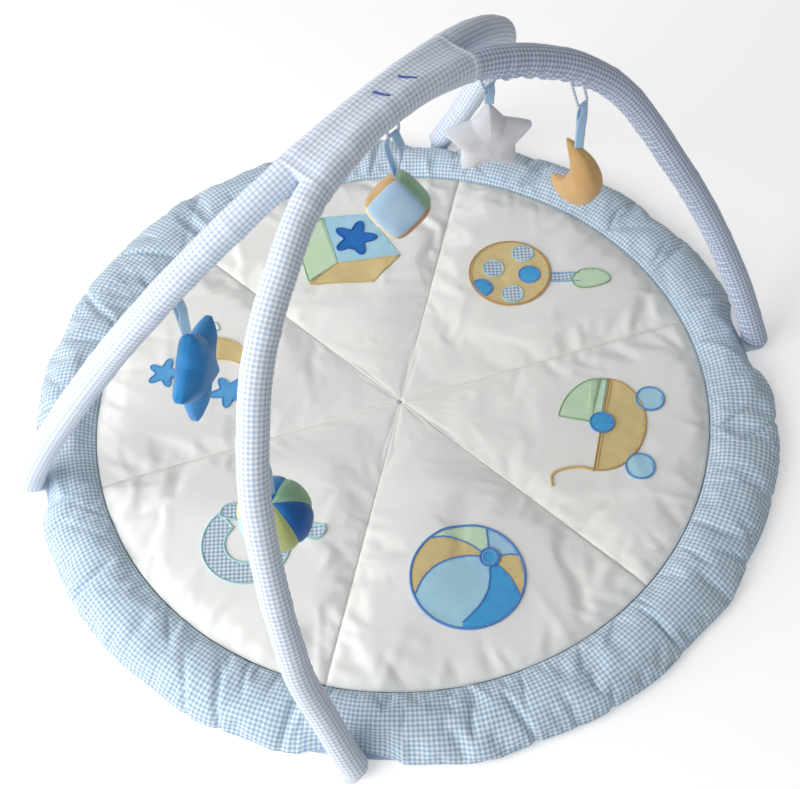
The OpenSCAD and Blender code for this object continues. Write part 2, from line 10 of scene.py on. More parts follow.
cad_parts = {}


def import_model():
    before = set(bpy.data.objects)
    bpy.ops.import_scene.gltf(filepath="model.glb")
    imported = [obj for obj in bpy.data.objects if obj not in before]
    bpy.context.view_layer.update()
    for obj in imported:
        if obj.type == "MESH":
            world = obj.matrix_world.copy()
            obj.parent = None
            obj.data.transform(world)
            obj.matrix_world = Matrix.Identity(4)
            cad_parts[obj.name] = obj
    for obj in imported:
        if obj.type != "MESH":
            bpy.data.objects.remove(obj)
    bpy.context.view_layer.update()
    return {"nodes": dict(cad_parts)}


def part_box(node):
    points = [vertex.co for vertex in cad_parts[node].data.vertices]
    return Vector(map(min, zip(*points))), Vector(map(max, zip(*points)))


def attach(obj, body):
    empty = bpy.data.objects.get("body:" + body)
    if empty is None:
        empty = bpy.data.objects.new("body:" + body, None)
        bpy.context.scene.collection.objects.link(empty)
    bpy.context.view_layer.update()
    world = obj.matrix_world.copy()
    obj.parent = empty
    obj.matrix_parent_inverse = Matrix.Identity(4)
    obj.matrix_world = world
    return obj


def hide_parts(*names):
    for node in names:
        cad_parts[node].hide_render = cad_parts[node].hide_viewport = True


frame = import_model()

MM = 0.001
FRONT, BACK, LEFT, RIGHT = -1, 1, -1, 1
FEET = {
    "front_left": (FRONT, LEFT),
    "front_right": (FRONT, RIGHT),
    "back_left": (BACK, LEFT),
    "back_right": (BACK, RIGHT),
}

# Mat
MAT_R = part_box("mat_border")[1].x
BACKING_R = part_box("mat_backing")[1].x
BACKING_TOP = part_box("mat_backing")[1].z
MIDDLE_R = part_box("mat_wadding")[1].x
WADDING_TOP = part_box("mat_wadding")[1].z
PANEL_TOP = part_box("mat_panel_1")[1].z
PANEL_EDGE = WADDING_TOP + 2.5 * MM
BORDER_W = MAT_R - MIDDLE_R
BORDER_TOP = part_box("mat_border")[1].z - 1.5 * MM
BORDER_H = BORDER_TOP - BACKING_TOP
WEDGE = math.radians(60)

# Arches
TUBE_R = 15.5 * MM
ARCH_H = 516 * MM
ARCH_R = 320 * MM
ARCH_TURN = math.radians(65)
HALF_GAP = 9 * MM
SLEEVE_TURN = math.radians(19)
SLEEVE_R = TUBE_R + 0.3 * MM
SNAP_R = 6 * MM
SNAP_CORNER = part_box("snap_sockets")[1]
FOOT = Vector((SNAP_CORNER.x - SNAP_R, SNAP_CORNER.y - SNAP_R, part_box("front_left_sleeve")[0].z))
FOOT_ANGLE = math.atan2(FOOT.y, FOOT.x)
ARCH_LEAN = math.atan((FOOT.y - HALF_GAP) / (ARCH_H - FOOT.z))
TOP_END = Vector((ARCH_R * math.sin(ARCH_TURN), ARCH_R * (math.cos(ARCH_TURN) - 1)))
INWARD = Vector((-math.sin(ARCH_TURN), -math.cos(ARCH_TURN)))
LEG_SPAN = Vector((FOOT.x, -(ARCH_H - FOOT.z) / math.cos(ARCH_LEAN))) - TOP_END
LEG_R = LEG_SPAN.length_squared / (2 * LEG_SPAN.dot(INWARD))
LEG_TURN = 2 * math.asin(LEG_SPAN.length / (2 * LEG_R))
LEG_CENTRE = TOP_END + LEG_R * INWARD

# Hanging loops and toys
TIE_R = 1.8 * MM
TIE_ROOM = 0.85 * MM
RIBBON_W = 10 * MM
RIBBON_T = 0.5 * MM
TOY_GAP = 0.3 * MM
# Each toy's arch, how far its ribbon spreads in mm, and the ribbon's twist in degrees
TOYS = {
    "ball": (FRONT, 2.0, -20),
    "blue_star": (BACK, 3.5, -18),
    "cube": (FRONT, 6.0, 22),
    "white_star": (FRONT, 0.4, -47),
    "moon": (FRONT, 0.6, -47),
}

# Sewn pictures
PICTURE_LIFT = 0.4 * MM
PICTURE_CUT = 4.5 * MM
STITCH_STEP = 4

# Camera, solved from the rim, the seams and the feet in the photograph
LOOK_AT = Vector((17.7, 18.6, 0)) * MM
CAMERA_AWAY = 1700.5 * MM
CAMERA_UP = math.radians(56.03)
CAMERA_ROUND = math.radians(-44.13)
CAMERA_ROLL = -0.0703
LENS = 61.4
SENSOR = 36

# Cloth
CHECK = 2.45 * MM
CLOTH_FRAMES = 20


def place_camera():
    level = math.cos(CAMERA_UP)
    back = Vector((math.sin(CAMERA_ROUND) * level, -math.cos(CAMERA_ROUND) * level, math.sin(CAMERA_UP)))
    data = bpy.data.cameras.new("camera")
    data.lens = LENS
    data.sensor_width = SENSOR
    camera = bpy.data.objects.new("camera", data)
    camera.rotation_mode = "QUATERNION"
    camera.location = LOOK_AT + CAMERA_AWAY * back
    camera.rotation_quaternion = (-back).to_track_quat("-Z", "Y") @ Quaternion((0, 0, 1), CAMERA_ROLL)
    bpy.context.scene.collection.objects.link(camera)
    bpy.context.scene.camera = camera


# Materials


def srgb(r, g, b):
    """Colour as seen in a picture, 0 to 255, as linear light"""
    def linear(c):
        c /= 255
        return c / 12.92 if c <= 0.04045 else ((c + 0.055) / 1.055) ** 2.4
    return (linear(r), linear(g), linear(b), 1)


def join(tree, socket, value):
    """Gives a socket a value, or another socket to read. None leaves it as it is."""
    if isinstance(value, bpy.types.NodeSocket):
        tree.links.new(value, socket)
    elif value is not None:
        socket.default_value = value


def node(tree, kind, *inputs, **settings):
    """Adds a node and joins its inputs in their order"""
    made = tree.nodes.new("ShaderNode" + kind)
    for name, value in settings.items():
        setattr(made, name, value)
    for socket, value in zip(made.inputs, inputs):
        join(tree, socket, value)
    return made


def maths(tree, operation, a, b=None):
    return node(tree, "Math", a, b, operation=operation).outputs[0]


def mottle(tree, place, scale, detail, roughness=None):
    return node(tree, "TexNoise", place, None, scale, detail, roughness).outputs[0]


def share_between(tree, value, low, high):
    """0 at low and 1 at high"""
    return node(tree, "MapRange", value, low, high, 0.0, 1.0).outputs[0]


def mix(tree, share, a, b):
    """Colour between a and b"""
    made = node(tree, "Mix", data_type="RGBA")
    for index, value in ((0, share), (6, a), (7, b)):
        join(tree, made.inputs[index], value)
    return made.outputs[2]


def new_group(name, inputs, outputs):
    group = bpy.data.node_groups.new(name, "ShaderNodeTree")
    for label, kind in inputs.items():
        group.interface.new_socket(label, in_out="INPUT", socket_type="NodeSocket" + kind)
    for label in outputs:
        group.interface.new_socket(label, in_out="OUTPUT", socket_type="NodeSocketFloat")
    return group, group.nodes.new("NodeGroupInput").outputs, group.nodes.new("NodeGroupOutput").inputs


def make_gingham_group():
    """Woven check: the share of coloured thread and the height of the weave. Place is in metres on the cloth."""
    inputs = {"Place": "Vector", "Check": "Float"}
    group, start, end = new_group("gingham", inputs, ("Colour share", "Height"))
    wobble = node(group, "TexNoise", start["Place"], None, 90.0, 2.0).outputs["Color"]
    spread = node(group, "VectorMath", wobble, (0.0007, 0.0007, 0), operation="MULTIPLY").outputs[0]
    place = node(group, "VectorMath", start["Place"], spread, operation="ADD").outputs[0]
    parts = node(group, "SeparateXYZ", place).outputs
    stripes, threads = [], []
    for axis in (0, 1):
        turns = maths(group, "DIVIDE", parts[axis], start["Check"])
        wave = maths(group, "SINE", maths(group, "MULTIPLY", turns, math.pi))
        stripes.append(share_between(group, wave, -0.22, 0.22))
        thread = maths(group, "SINE", maths(group, "MULTIPLY", turns, 8 * math.pi))
        threads.append(maths(group, "ABSOLUTE", thread))
    both = maths(group, "MULTIPLY", maths(group, "ADD", *stripes), 0.5)
    fleck = maths(group, "SUBTRACT", mottle(group, start["Place"], 900.0, 2.0), 0.5)
    join(group, end["Colour share"], maths(group, "ADD", both, maths(group, "MULTIPLY", fleck, 0.25)))
    join(group, end["Height"], maths(group, "MULTIPLY", maths(group, "ADD", *threads), 0.5))
    return group


def make_pile_group():
    """Short pile or felt: a mottle for the colour and the height of the fibres"""
    group, start, end = new_group("pile", {"Place": "Vector", "Fineness": "Float"}, ("Mottle", "Height"))
    patches = mottle(group, start["Place"], 60.0, 3.0)
    fibres = mottle(group, start["Place"], start["Fineness"], 4.0, 0.7)
    parts = (maths(group, "MULTIPLY", value, share) for value, share in ((patches, 0.6), (fibres, 0.4)))
    join(group, end["Mottle"], maths(group, "ADD", *parts))
    join(group, end["Height"], fibres)
    return group


def make_weave_group():
    """Plain weave: the height of crossing threads, and slow tints in the cloth"""
    group, start, end = new_group("plain_weave", {"Place": "Vector", "Thread": "Float"}, ("Tint", "Height"))
    parts = node(group, "SeparateXYZ", start["Place"]).outputs
    waves = []
    for axis in (0, 1):
        turns = maths(group, "DIVIDE", parts[axis], start["Thread"])
        waves.append(maths(group, "SINE", maths(group, "MULTIPLY", turns, math.pi)))
    join(group, end["Height"], maths(group, "MULTIPLY", *waves))
    join(group, end["Tint"], mottle(group, start["Place"], 14.0, 4.0, 0.55))
    return group


GINGHAM = make_gingham_group()
PILE = make_pile_group()
WEAVE = make_weave_group()


def new_material(name, roughness, sheen=0.0, specular=0.3, metallic=0.0):
    material = bpy.data.materials.new(name)
    material.use_nodes = True
    shader = material.node_tree.nodes["Principled BSDF"]
    values = {"Roughness": roughness, "Sheen Weight": sheen, "Specular IOR Level": specular, "Metallic": metallic}
    for label, value in values.items():
        shader.inputs[label].default_value = value
    return material, material.node_tree, shader.inputs


def group_node(tree, group, **inputs):
    made = node(tree, "Group")
    made.node_tree = group
    for label, value in inputs.items():
        join(tree, made.inputs[label], value)
    return made.outputs


def object_place(tree):
    return node(tree, "TexCoord").outputs["Object"]


def paint(tree, shader, share, a, b):
    join(tree, shader["Base Color"], mix(tree, share, srgb(*a), srgb(*b)))


def raise_surface(tree, shader, height, strength, depth):
    bump = node(tree, "Bump")
    for label, value in (("Strength", strength), ("Distance", depth), ("Height", height)):
        join(tree, bump.inputs[label], value)
    join(tree, shader["Normal"], bump.outputs[0])


def gingham(name, pale, colour, turn=0.0):
    """Woven check on the piece's own UV map, which is in metres"""
    material, tree, shader = new_material(name, 0.85, sheen=0.15, specular=0.2)
    place = node(tree, "Mapping", node(tree, "UVMap").outputs[0])
    place.inputs["Rotation"].default_value = (0, 0, turn)
    check = group_node(tree, GINGHAM, Place=place.outputs[0], Check=CHECK)
    paint(tree, shader, check["Colour share"], pale, colour)
    raise_surface(tree, shader, check["Height"], 0.35, 0.15 * MM)
    return material


def pile(name, colour, shade, fineness=1600.0):
    """Plush or felt whose colour drifts between two shades"""
    material, tree, shader = new_material(name, 0.9, sheen=0.35, specular=0.15)
    fibres = group_node(tree, PILE, Place=object_place(tree), Fineness=fineness)
    paint(tree, shader, share_between(tree, fibres["Mottle"], 0.35, 0.65), shade, colour)
    raise_surface(tree, shader, fibres["Height"], 0.5, 0.5 * MM)
    return material


def woven(name, colour, shade, thread=0.45 * MM, roughness=0.85, sheen=0.15, depth=0.12 * MM):
    """Plain cloth"""
    material, tree, shader = new_material(name, roughness, sheen, specular=0.2)
    cloth = group_node(tree, WEAVE, Place=object_place(tree), Thread=thread)
    paint(tree, shader, share_between(tree, cloth["Tint"], 0.3, 0.7), shade, colour)
    raise_surface(tree, shader, cloth["Height"], 0.3, depth)
    return material


def stitched(name, colour, shade, roughness=0.5):
    """Row of glossy thread"""
    return woven(name, colour, shade, thread=0.8 * MM, roughness=roughness, depth=0.3 * MM)


def satin(name, colour, shade):
    """Satin ribbon with fine lines along its length, on a UV map in metres"""
    material, tree, shader = new_material(name, 0.38, sheen=0.3, specular=0.5)
    across = node(tree, "SeparateXYZ", node(tree, "UVMap").outputs[0]).outputs[0]
    lines = maths(tree, "SINE", maths(tree, "MULTIPLY", across, math.tau / (0.5 * MM)))
    edge = maths(tree, "ABSOLUTE", maths(tree, "DIVIDE", across, RIBBON_W / 2))
    paint(tree, shader, share_between(tree, edge, 0.62, 0.9), colour, shade)
    raise_surface(tree, shader, lines, 0.25, 0.08 * MM)
    return material


def moulded(name, colour, roughness, metallic=0.0):
    """Moulded plastic, rubber or drawn metal with a faint grain"""
    material, tree, shader = new_material(name, roughness, specular=0.5, metallic=metallic)
    place = object_place(tree)
    grain = mottle(tree, place, 400.0, 3.0)
    worn = mottle(tree, place, 35.0, 3.0)
    clean = srgb(*colour)
    deep = tuple(0.86 * c for c in clean[:3]) + (1,)
    join(tree, shader["Base Color"], mix(tree, worn, deep, clean))
    raise_surface(tree, shader, grain, 0.15, 0.1 * MM)
    return material


BORDER_CLOTH = gingham("border_gingham", (230, 240, 247), (146, 179, 206))
ARCH_CLOTH = gingham("arch_gingham", (245, 248, 252), (183, 201, 227))
# Arch cloth drawn darker for the front right leg: painted shade, since all four legs are of one cloth
PAINTED_SHADE_CLOTH = gingham("shaded_gingham", (226, 231, 242), (148, 166, 202))
MOTIF_CLOTH = gingham("motif_gingham", (228, 236, 241), (132, 162, 190), turn=math.radians(45))
QUILT_CLOTH = woven("quilted_cotton", (248, 248, 244), (242, 243, 239), roughness=0.95, sheen=0.05)
BACKING_CLOTH = woven("backing_cloth", (196, 214, 236), (182, 203, 230))
TAPE = woven("white_tape", (240, 244, 248), (226, 232, 240), thread=0.9 * MM, depth=0.25 * MM)
FIBRE = pile("wadding_fibre", (246, 246, 243), (232, 232, 228), fineness=500.0)
TAN_FELT = pile("tan_felt", (228, 206, 150), (218, 194, 136))
GREEN_FELT = pile("green_felt", (214, 240, 206), (204, 232, 196))
LIGHT_FELT = pile("light_blue_felt", (182, 224, 242), (170, 216, 238))
BLUE_FELT = pile("mid_blue_felt", (82, 176, 232), (68, 162, 222))
SKY_FELT = pile("pale_blue_felt", (176, 214, 236), (164, 204, 230))
FOLD_FELT = pile("fold_felt", (196, 228, 190), (184, 218, 180))
DEEP_FELT = pile("deep_blue_felt", (36, 122, 204), (28, 108, 190))
STAR_FELT = pile("star_blue_felt", (104, 178, 232), (88, 164, 224))
AQUA_STITCH = stitched("aqua_stitch", (184, 224, 226), (166, 210, 214))
BLUE_STITCH = stitched("blue_stitch", (98, 150, 216), (86, 136, 204))
TAN_STITCH = stitched("tan_stitch", (198, 160, 100), (184, 146, 90))
# Dark navy for the tucks on the top sleeve: painted shade where the cloth is pinched
PAINTED_TUCK_SHADE = stitched("navy_stitch", (84, 104, 168), (70, 90, 154), roughness=0.6)
DEEP_STITCH = stitched("deep_blue_stitch", (30, 104, 186), (24, 92, 172))
STAR_STITCH = stitched("star_blue_stitch", (92, 160, 216), (80, 148, 206))
CREAM_STITCH = stitched("cream_stitch", (222, 196, 140), (208, 180, 124))
LIGHT_STITCH = stitched("light_stitch", (150, 190, 228), (136, 176, 216))
GREEN_STITCH = stitched("green_stitch", (150, 190, 150), (136, 176, 138))
RIBBON_SATIN = satin("satin_ribbon", (158, 200, 236), (206, 226, 245))
BLUE_PLUSH = pile("blue_plush", (62, 150, 214), (44, 130, 200))
DEEP_PLUSH = pile("deep_blue_plush", (40, 110, 184), (28, 94, 168))
SAGE_PLUSH = pile("sage_plush", (160, 202, 164), (144, 186, 150))
LIME_PLUSH = pile("lime_plush", (204, 214, 140), (190, 200, 124))
SKY_PLUSH = pile("sky_plush", (190, 218, 238), (174, 206, 232))
LEMON_PLUSH = pile("lemon_plush", (236, 234, 178), (224, 222, 164))
TAN_PLUSH = pile("tan_plush", (222, 182, 126), (208, 166, 108))
BROWN_PLUSH = pile("brown_plush", (206, 160, 116), (190, 144, 100))
CREAM_PLUSH = pile("cream_plush", (244, 230, 198), (234, 218, 184))
WHITE_PLUSH = pile("white_plush", (238, 238, 242), (228, 228, 234))
ROD_PLASTIC = moulded("rod_plastic", (238, 238, 230), 0.45)
SNAP_PLASTIC = moulded("snap_plastic", (244, 244, 242), 0.25)
FERRULE_METAL = moulded("ferrule_metal", (200, 203, 208), 0.35, metallic=1.0)
CAP_RUBBER = moulded("cap_rubber", (52, 52, 54), 0.7)


# Pieces


def new_piece(name, bm, materials, body, *nodes, slot=None):
    """Turns a bmesh into a piece that rides on a body and stands for some nodes"""
    mesh = bpy.data.meshes.new(name)
    bm.to_mesh(mesh)
    bm.free()
    for material in materials:
        mesh.materials.append(material)
    mesh.shade_smooth()
    piece = bpy.data.objects.new(name, mesh)
    bpy.context.scene.collection.objects.link(piece)
    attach(piece, body)
    if nodes:
        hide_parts(*nodes)
    return piece


def soften(piece):
    modifier = piece.modifiers.new("smooth", "SUBSURF")
    modifier.levels = 1
    modifier.render_levels = 1


def ease(x):
    """0 to 1 with a soft start and end"""
    x = min(max(x, 0.0), 1.0)
    return x * x * (3 - 2 * x)


def hump(x):
    """1 at 0, falling off softly on both sides"""
    return math.exp(-x ** 2)


def around(r, angle):
    return Vector((r * math.cos(angle), r * math.sin(angle)))


def half_turn(angle):
    """The same angle, within half a turn of 0"""
    return (angle + math.pi) % math.tau - math.pi


def smooth_line(points, steps):
    """Points on a smooth line through the given points"""
    points = [Vector(p) for p in points]
    padded = points[:1] + points + points[-1:]
    line = []
    for before, start, end, after in zip(padded, points, points[1:], padded[3:]):
        for k in range(steps):
            t = k / steps
            bend = (2 * before - 5 * start + 4 * end - after) * t * t
            twist = (3 * start - before - 3 * end + after) * t ** 3
            line.append(0.5 * (2 * start + (end - before) * t + bend + twist))
    return line + [points[-1]]


def new_cloth():
    """Empty mesh whose points keep their place along and across the cloth"""
    bm = bmesh.new()
    return bm, bm.verts.layers.float.new("along"), bm.verts.layers.float.new("across")


def set_uv(bm, along, across, length=0, girth=0):
    """UV map in metres from two values kept on each point, which start again after a length or a girth"""
    uv = bm.loops.layers.uv.new("UVMap")
    for face in bm.faces:
        first = face.verts[0]
        for loop in face.loops:
            place = []
            for layer, whole in ((along, length), (across, girth)):
                value = loop.vert[layer]
                if whole:
                    value -= whole * round((value - first[layer]) / whole)
                place.append(value)
            loop[uv].uv = place


def verts_of(geom):
    return [v for v in geom if isinstance(v, bmesh.types.BMVert)]


def boundary(bm):
    return [e for e in bm.edges if e.is_boundary]


def extrude(bm, edges):
    """Extrudes a line of edges once: the new line's points and edges"""
    made = bmesh.ops.extrude_edge_only(bm, edges=edges)["geom"]
    verts = verts_of(made)
    fresh = set(verts)
    return verts, [e for e in made if isinstance(e, bmesh.types.BMEdge) and fresh.issuperset(e.verts)]


def spin(bm, centre, axis, angle, steps, geom=None, **settings):
    geom = geom or bm.verts[:] + bm.edges[:]
    made = bmesh.ops.spin(bm, geom=geom, cent=centre, axis=axis, angle=angle, steps=steps, **settings)
    return made["geom_last"]


def face_out(bm):
    bmesh.ops.recalc_face_normals(bm, faces=bm.faces[:])


def face_up(bm):
    if sum(f.normal.z for f in bm.faces) < 0:
        bmesh.ops.reverse_faces(bm, faces=bm.faces[:])


def close(bm, edges=None):
    """Fills the holes along some edges, or all of them"""
    bmesh.ops.holes_fill(bm, edges=edges or boundary(bm), sides=0)
    face_out(bm)


def update_normals(bm):
    for v in bm.verts:
        v.normal_update()


def thicken(bm, thick, bevel):
    """Makes a flat face into a plate with soft edges"""
    made = bmesh.ops.extrude_face_region(bm, geom=bm.faces[:])["geom"]
    bmesh.ops.translate(bm, verts=verts_of(made), vec=(0, 0, thick))
    rims = [e for e in bm.edges if abs(e.verts[0].co.z - e.verts[1].co.z) < 1e-6]
    bmesh.ops.bevel(bm, geom=rims, offset=bevel, segments=3, profile=0.5, affect="EDGES", material=-1)


def move(bm, place, turn):
    bmesh.ops.transform(bm, matrix=Matrix.Translation(place) @ turn, verts=bm.verts[:])


def tube(path, r, sides=10):
    """Tube along a path: a ring extruded from point to point and turned with it"""
    bm, along, across = new_cloth()
    path = [Vector(p) for p in path]
    ways = [(b - a).normalized() for a, b in zip(path[:1] + path, path[1:] + path[-1:])]
    start = Matrix.Translation(path[0]) @ ways[0].to_track_quat("Z", "Y").to_matrix().to_4x4()
    for k, v in enumerate(bmesh.ops.create_circle(bm, segments=sides, radius=r, matrix=start)["verts"]):
        v[across] = math.tau * r * k / sides
    edges = bm.edges[:]
    travelled = 0.0
    for i in range(1, len(path)):
        verts, edges = extrude(bm, edges)
        bend = ways[i - 1].rotation_difference(ways[i]).to_matrix()
        bmesh.ops.rotate(bm, cent=path[i - 1], matrix=bend, verts=verts)
        bmesh.ops.translate(bm, vec=path[i] - path[i - 1], verts=verts)
        travelled += (path[i] - path[i - 1]).length
        for v in verts:
            v[along] = travelled
    close(bm)
    set_uv(bm, along, across, girth=math.tau * r)
    return bm


def make_cloth(piece, held, pressure, slack, taut=None):
    """Readies a piece for the cloth run: held points stay, the rest swells with spare cloth, less where taut"""
    group = piece.vertex_groups.new(name="held")
    group.add(held, 1.0, "REPLACE")
    cloth = piece.modifiers.new("cloth", "CLOTH")
    cloth.settings.vertex_group_mass = group.name
    cloth.settings.use_pressure = True
    cloth.settings.uniform_pressure_force = pressure
    cloth.settings.shrink_min = -slack
    if taut:
        tight = piece.vertex_groups.new(name="taut")
        for vertex in piece.data.vertices:
            tight.add([vertex.index], taut(vertex.co), "REPLACE")
        cloth.settings.vertex_group_shrink = tight.name
        cloth.settings.shrink_max = 0
    cloth.settings.effector_weights.gravity = 0
    cloth.collision_settings.use_collision = False
    cloth.point_cache.frame_start = 1
    cloth.point_cache.frame_end = CLOTH_FRAMES


def run_cloth(caps):
    """Runs the cloth of every piece at once and keeps the result, with each point's move capped"""
    scene = bpy.context.scene
    for step in range(1, CLOTH_FRAMES + 1):
        scene.frame_set(step)
    graph = bpy.context.evaluated_depsgraph_get()
    for piece, cap in caps.items():
        swollen = [v.co.copy() for v in piece.evaluated_get(graph).data.vertices]
        piece.modifiers.clear()
        piece.vertex_groups.clear()
        for vertex, place in zip(piece.data.vertices, swollen):
            shift = place - vertex.co
            vertex.co += shift * min(1, cap(vertex.co) / max(shift.length, 1e-9))
    scene.frame_set(1)


# Mat


def foot_turn(angle):
    """Angle from a place on the rim to the nearest foot"""
    turn = abs((angle + 3 * math.pi) % math.tau - math.pi)
    return min(abs(turn - FOOT_ANGLE), abs(math.pi - turn - FOOT_ANGLE))


def panel_folds(index, outer):
    """Creases in one wedge, from its rim, its seams and inside it: start, way, length, width and height"""
    chance = random.Random(index + 11)
    folds = []

    def mm(low, high):
        return chance.uniform(low, high) * MM

    def add(place, way, length, width, height, lean):
        way = way + math.radians(chance.uniform(-lean, lean))
        rise = height if chance.random() < 0.72 else -0.8 * height
        folds.append((place, around(1, way), length, width, rise))

    from_rim, from_seam, seam_start = 12, 8, 95 * MM
    for k in range(from_rim):
        turn = WEDGE * ((k + chance.uniform(0.1, 0.9)) / from_rim - 0.5)
        add(around(outer, turn), turn + math.pi, mm(28, 115), mm(3.5, 7.5), mm(1.8, 4.2), 38)
    for hand in (LEFT, RIGHT):
        seam = hand * WEDGE / 2
        for k in range(from_seam):
            r = seam_start + (outer - seam_start) * (k + chance.uniform(0, 0.9)) / from_seam
            inward = seam - hand * math.pi / 2
            add(around(r, seam), inward, r * chance.uniform(0.07, 0.2), mm(3.5, 7), mm(1.2, 3), 40)
    for _ in range(3):
        turn = WEDGE * chance.uniform(-0.3, 0.3)
        add(around(mm(70, 120), turn), turn, mm(80, 170), mm(6, 10), mm(1.0, 2.2), 14)
    for _ in range(7):
        turn = WEDGE * chance.uniform(-0.4, 0.4)
        r = outer * chance.uniform(0.35, 0.9)
        add(around(r, turn), turn, mm(50, 130), mm(6, 11), mm(1, 2.4), 180)
    return folds


def crease(rise, place, folds):
    """Height at a place, raised or lowered by the creases there"""
    for begin, way, length, width, height in folds:
        from_begin = place - begin
        share = from_begin.dot(way) / length
        if 0 <= share < 1:
            away = from_begin.cross(way) / width
            if abs(away) < 2.5:
                rise += height * (1 - share) * ease(6 * share + 0.35) * math.exp(-away * away)
    return rise


def panel(index):
    """Quilted wedge between two seams, spun from one of them, creased where its edges are gathered"""
    inner, outer, cuts, steps = 2 * MM, MIDDLE_R - 0.6 * MM, 82, 74
    seam_roll, rim_roll = 9 * MM, 22 * MM
    ray = around(1, (index - 0.5) * WEDGE).to_3d()
    bm = bmesh.new()
    ends = [bm.verts.new(ray * inner), bm.verts.new(ray * outer)]
    bmesh.ops.subdivide_edges(bm, edges=[bm.edges.new(ends)], cuts=cuts)
    spin(bm, (0, 0, 0), (0, 0, 1), WEDGE, steps)
    folds = panel_folds(index, outer)
    for v in bm.verts:
        r = v.co.to_2d().length
        turn = half_turn(math.atan2(v.co.y, v.co.x) - index * WEDGE)
        to_rim = outer - r
        to_seam = min((WEDGE / 2 - abs(turn)) * r, r / 3)
        edge = ease(to_seam / seam_roll) ** 0.6 * ease(to_rim / rim_roll) ** 0.6
        rise = noise.noise((v.co.x * 13, v.co.y * 13, index)) * 1.8 * MM * ease(r / (150 * MM))
        rise = crease(rise, around(r, turn), folds)
        high = 0.55 + 0.2 * ease(to_seam / (40 * MM)) * ease(to_rim / (60 * MM))
        low = 0.34 * ease(to_rim / rim_roll)
        v.co.z = PANEL_EDGE + (low + (high - low) * edge) * (PANEL_TOP - PANEL_EDGE) + 0.75 * rise * edge
    face_out(bm)
    face_up(bm)
    name = f"mat_panel_{index + 1}"
    bm.verts.index_update()
    held = [v.index for v in bm.verts if v.is_boundary]
    piece = new_piece(name + "_quilt", bm, [QUILT_CLOTH], "mat", name, slot="quilted_cotton")
    make_cloth(piece, held, 1.0, 0.022, lambda p: 1 - 0.9 * ease((p.to_2d().length - 90 * MM) / (200 * MM)))
    return piece


def close_panel(piece):
    """Gives a wedge its underside"""
    bm = bmesh.new()
    bm.from_mesh(piece.data)
    for v in extrude(bm, boundary(bm))[0]:
        v.co.z = WADDING_TOP
    close(bm)
    bm.to_mesh(piece.data)
    bm.free()
    piece.data.shade_smooth()


def creases(count, seed):
    """Pinched creases round the border: place, depth, slant and how far across it each one reaches"""
    made = []
    for k in range(count):
        shift, depth, slant, reach = (noise.noise((k * 3.7, seed + j * 5.3, 0.5)) for j in range(4))
        place = math.tau * (k + 1.1 * shift) / count
        made.append((place, 0.65 + 1.1 * depth, 0.42 * slant, 0.55 + 0.9 * reach))
    return made


def pinch(angle, out, folds, width, from_rim):
    """How deep a place on the border is pulled in by the creases that start at its rim or at its inner seam"""
    deep = 0.0
    for place, depth, slant, reach in folds:
        away = half_turn(angle - place - slant * (out - 0.5))
        if abs(away) * MAT_R < 3 * width:
            inside = (out if from_rim else 1 - out) - 1 + reach
            deep += depth * hump(away * MAT_R / width) * ease(inside / 0.4)
    return deep


def bulge(angle, place, spread):
    """1 at a place on the rim, falling off over a spread, all in degrees"""
    return hump(((math.degrees(angle) - place + 180) % 360 - 180) / spread)


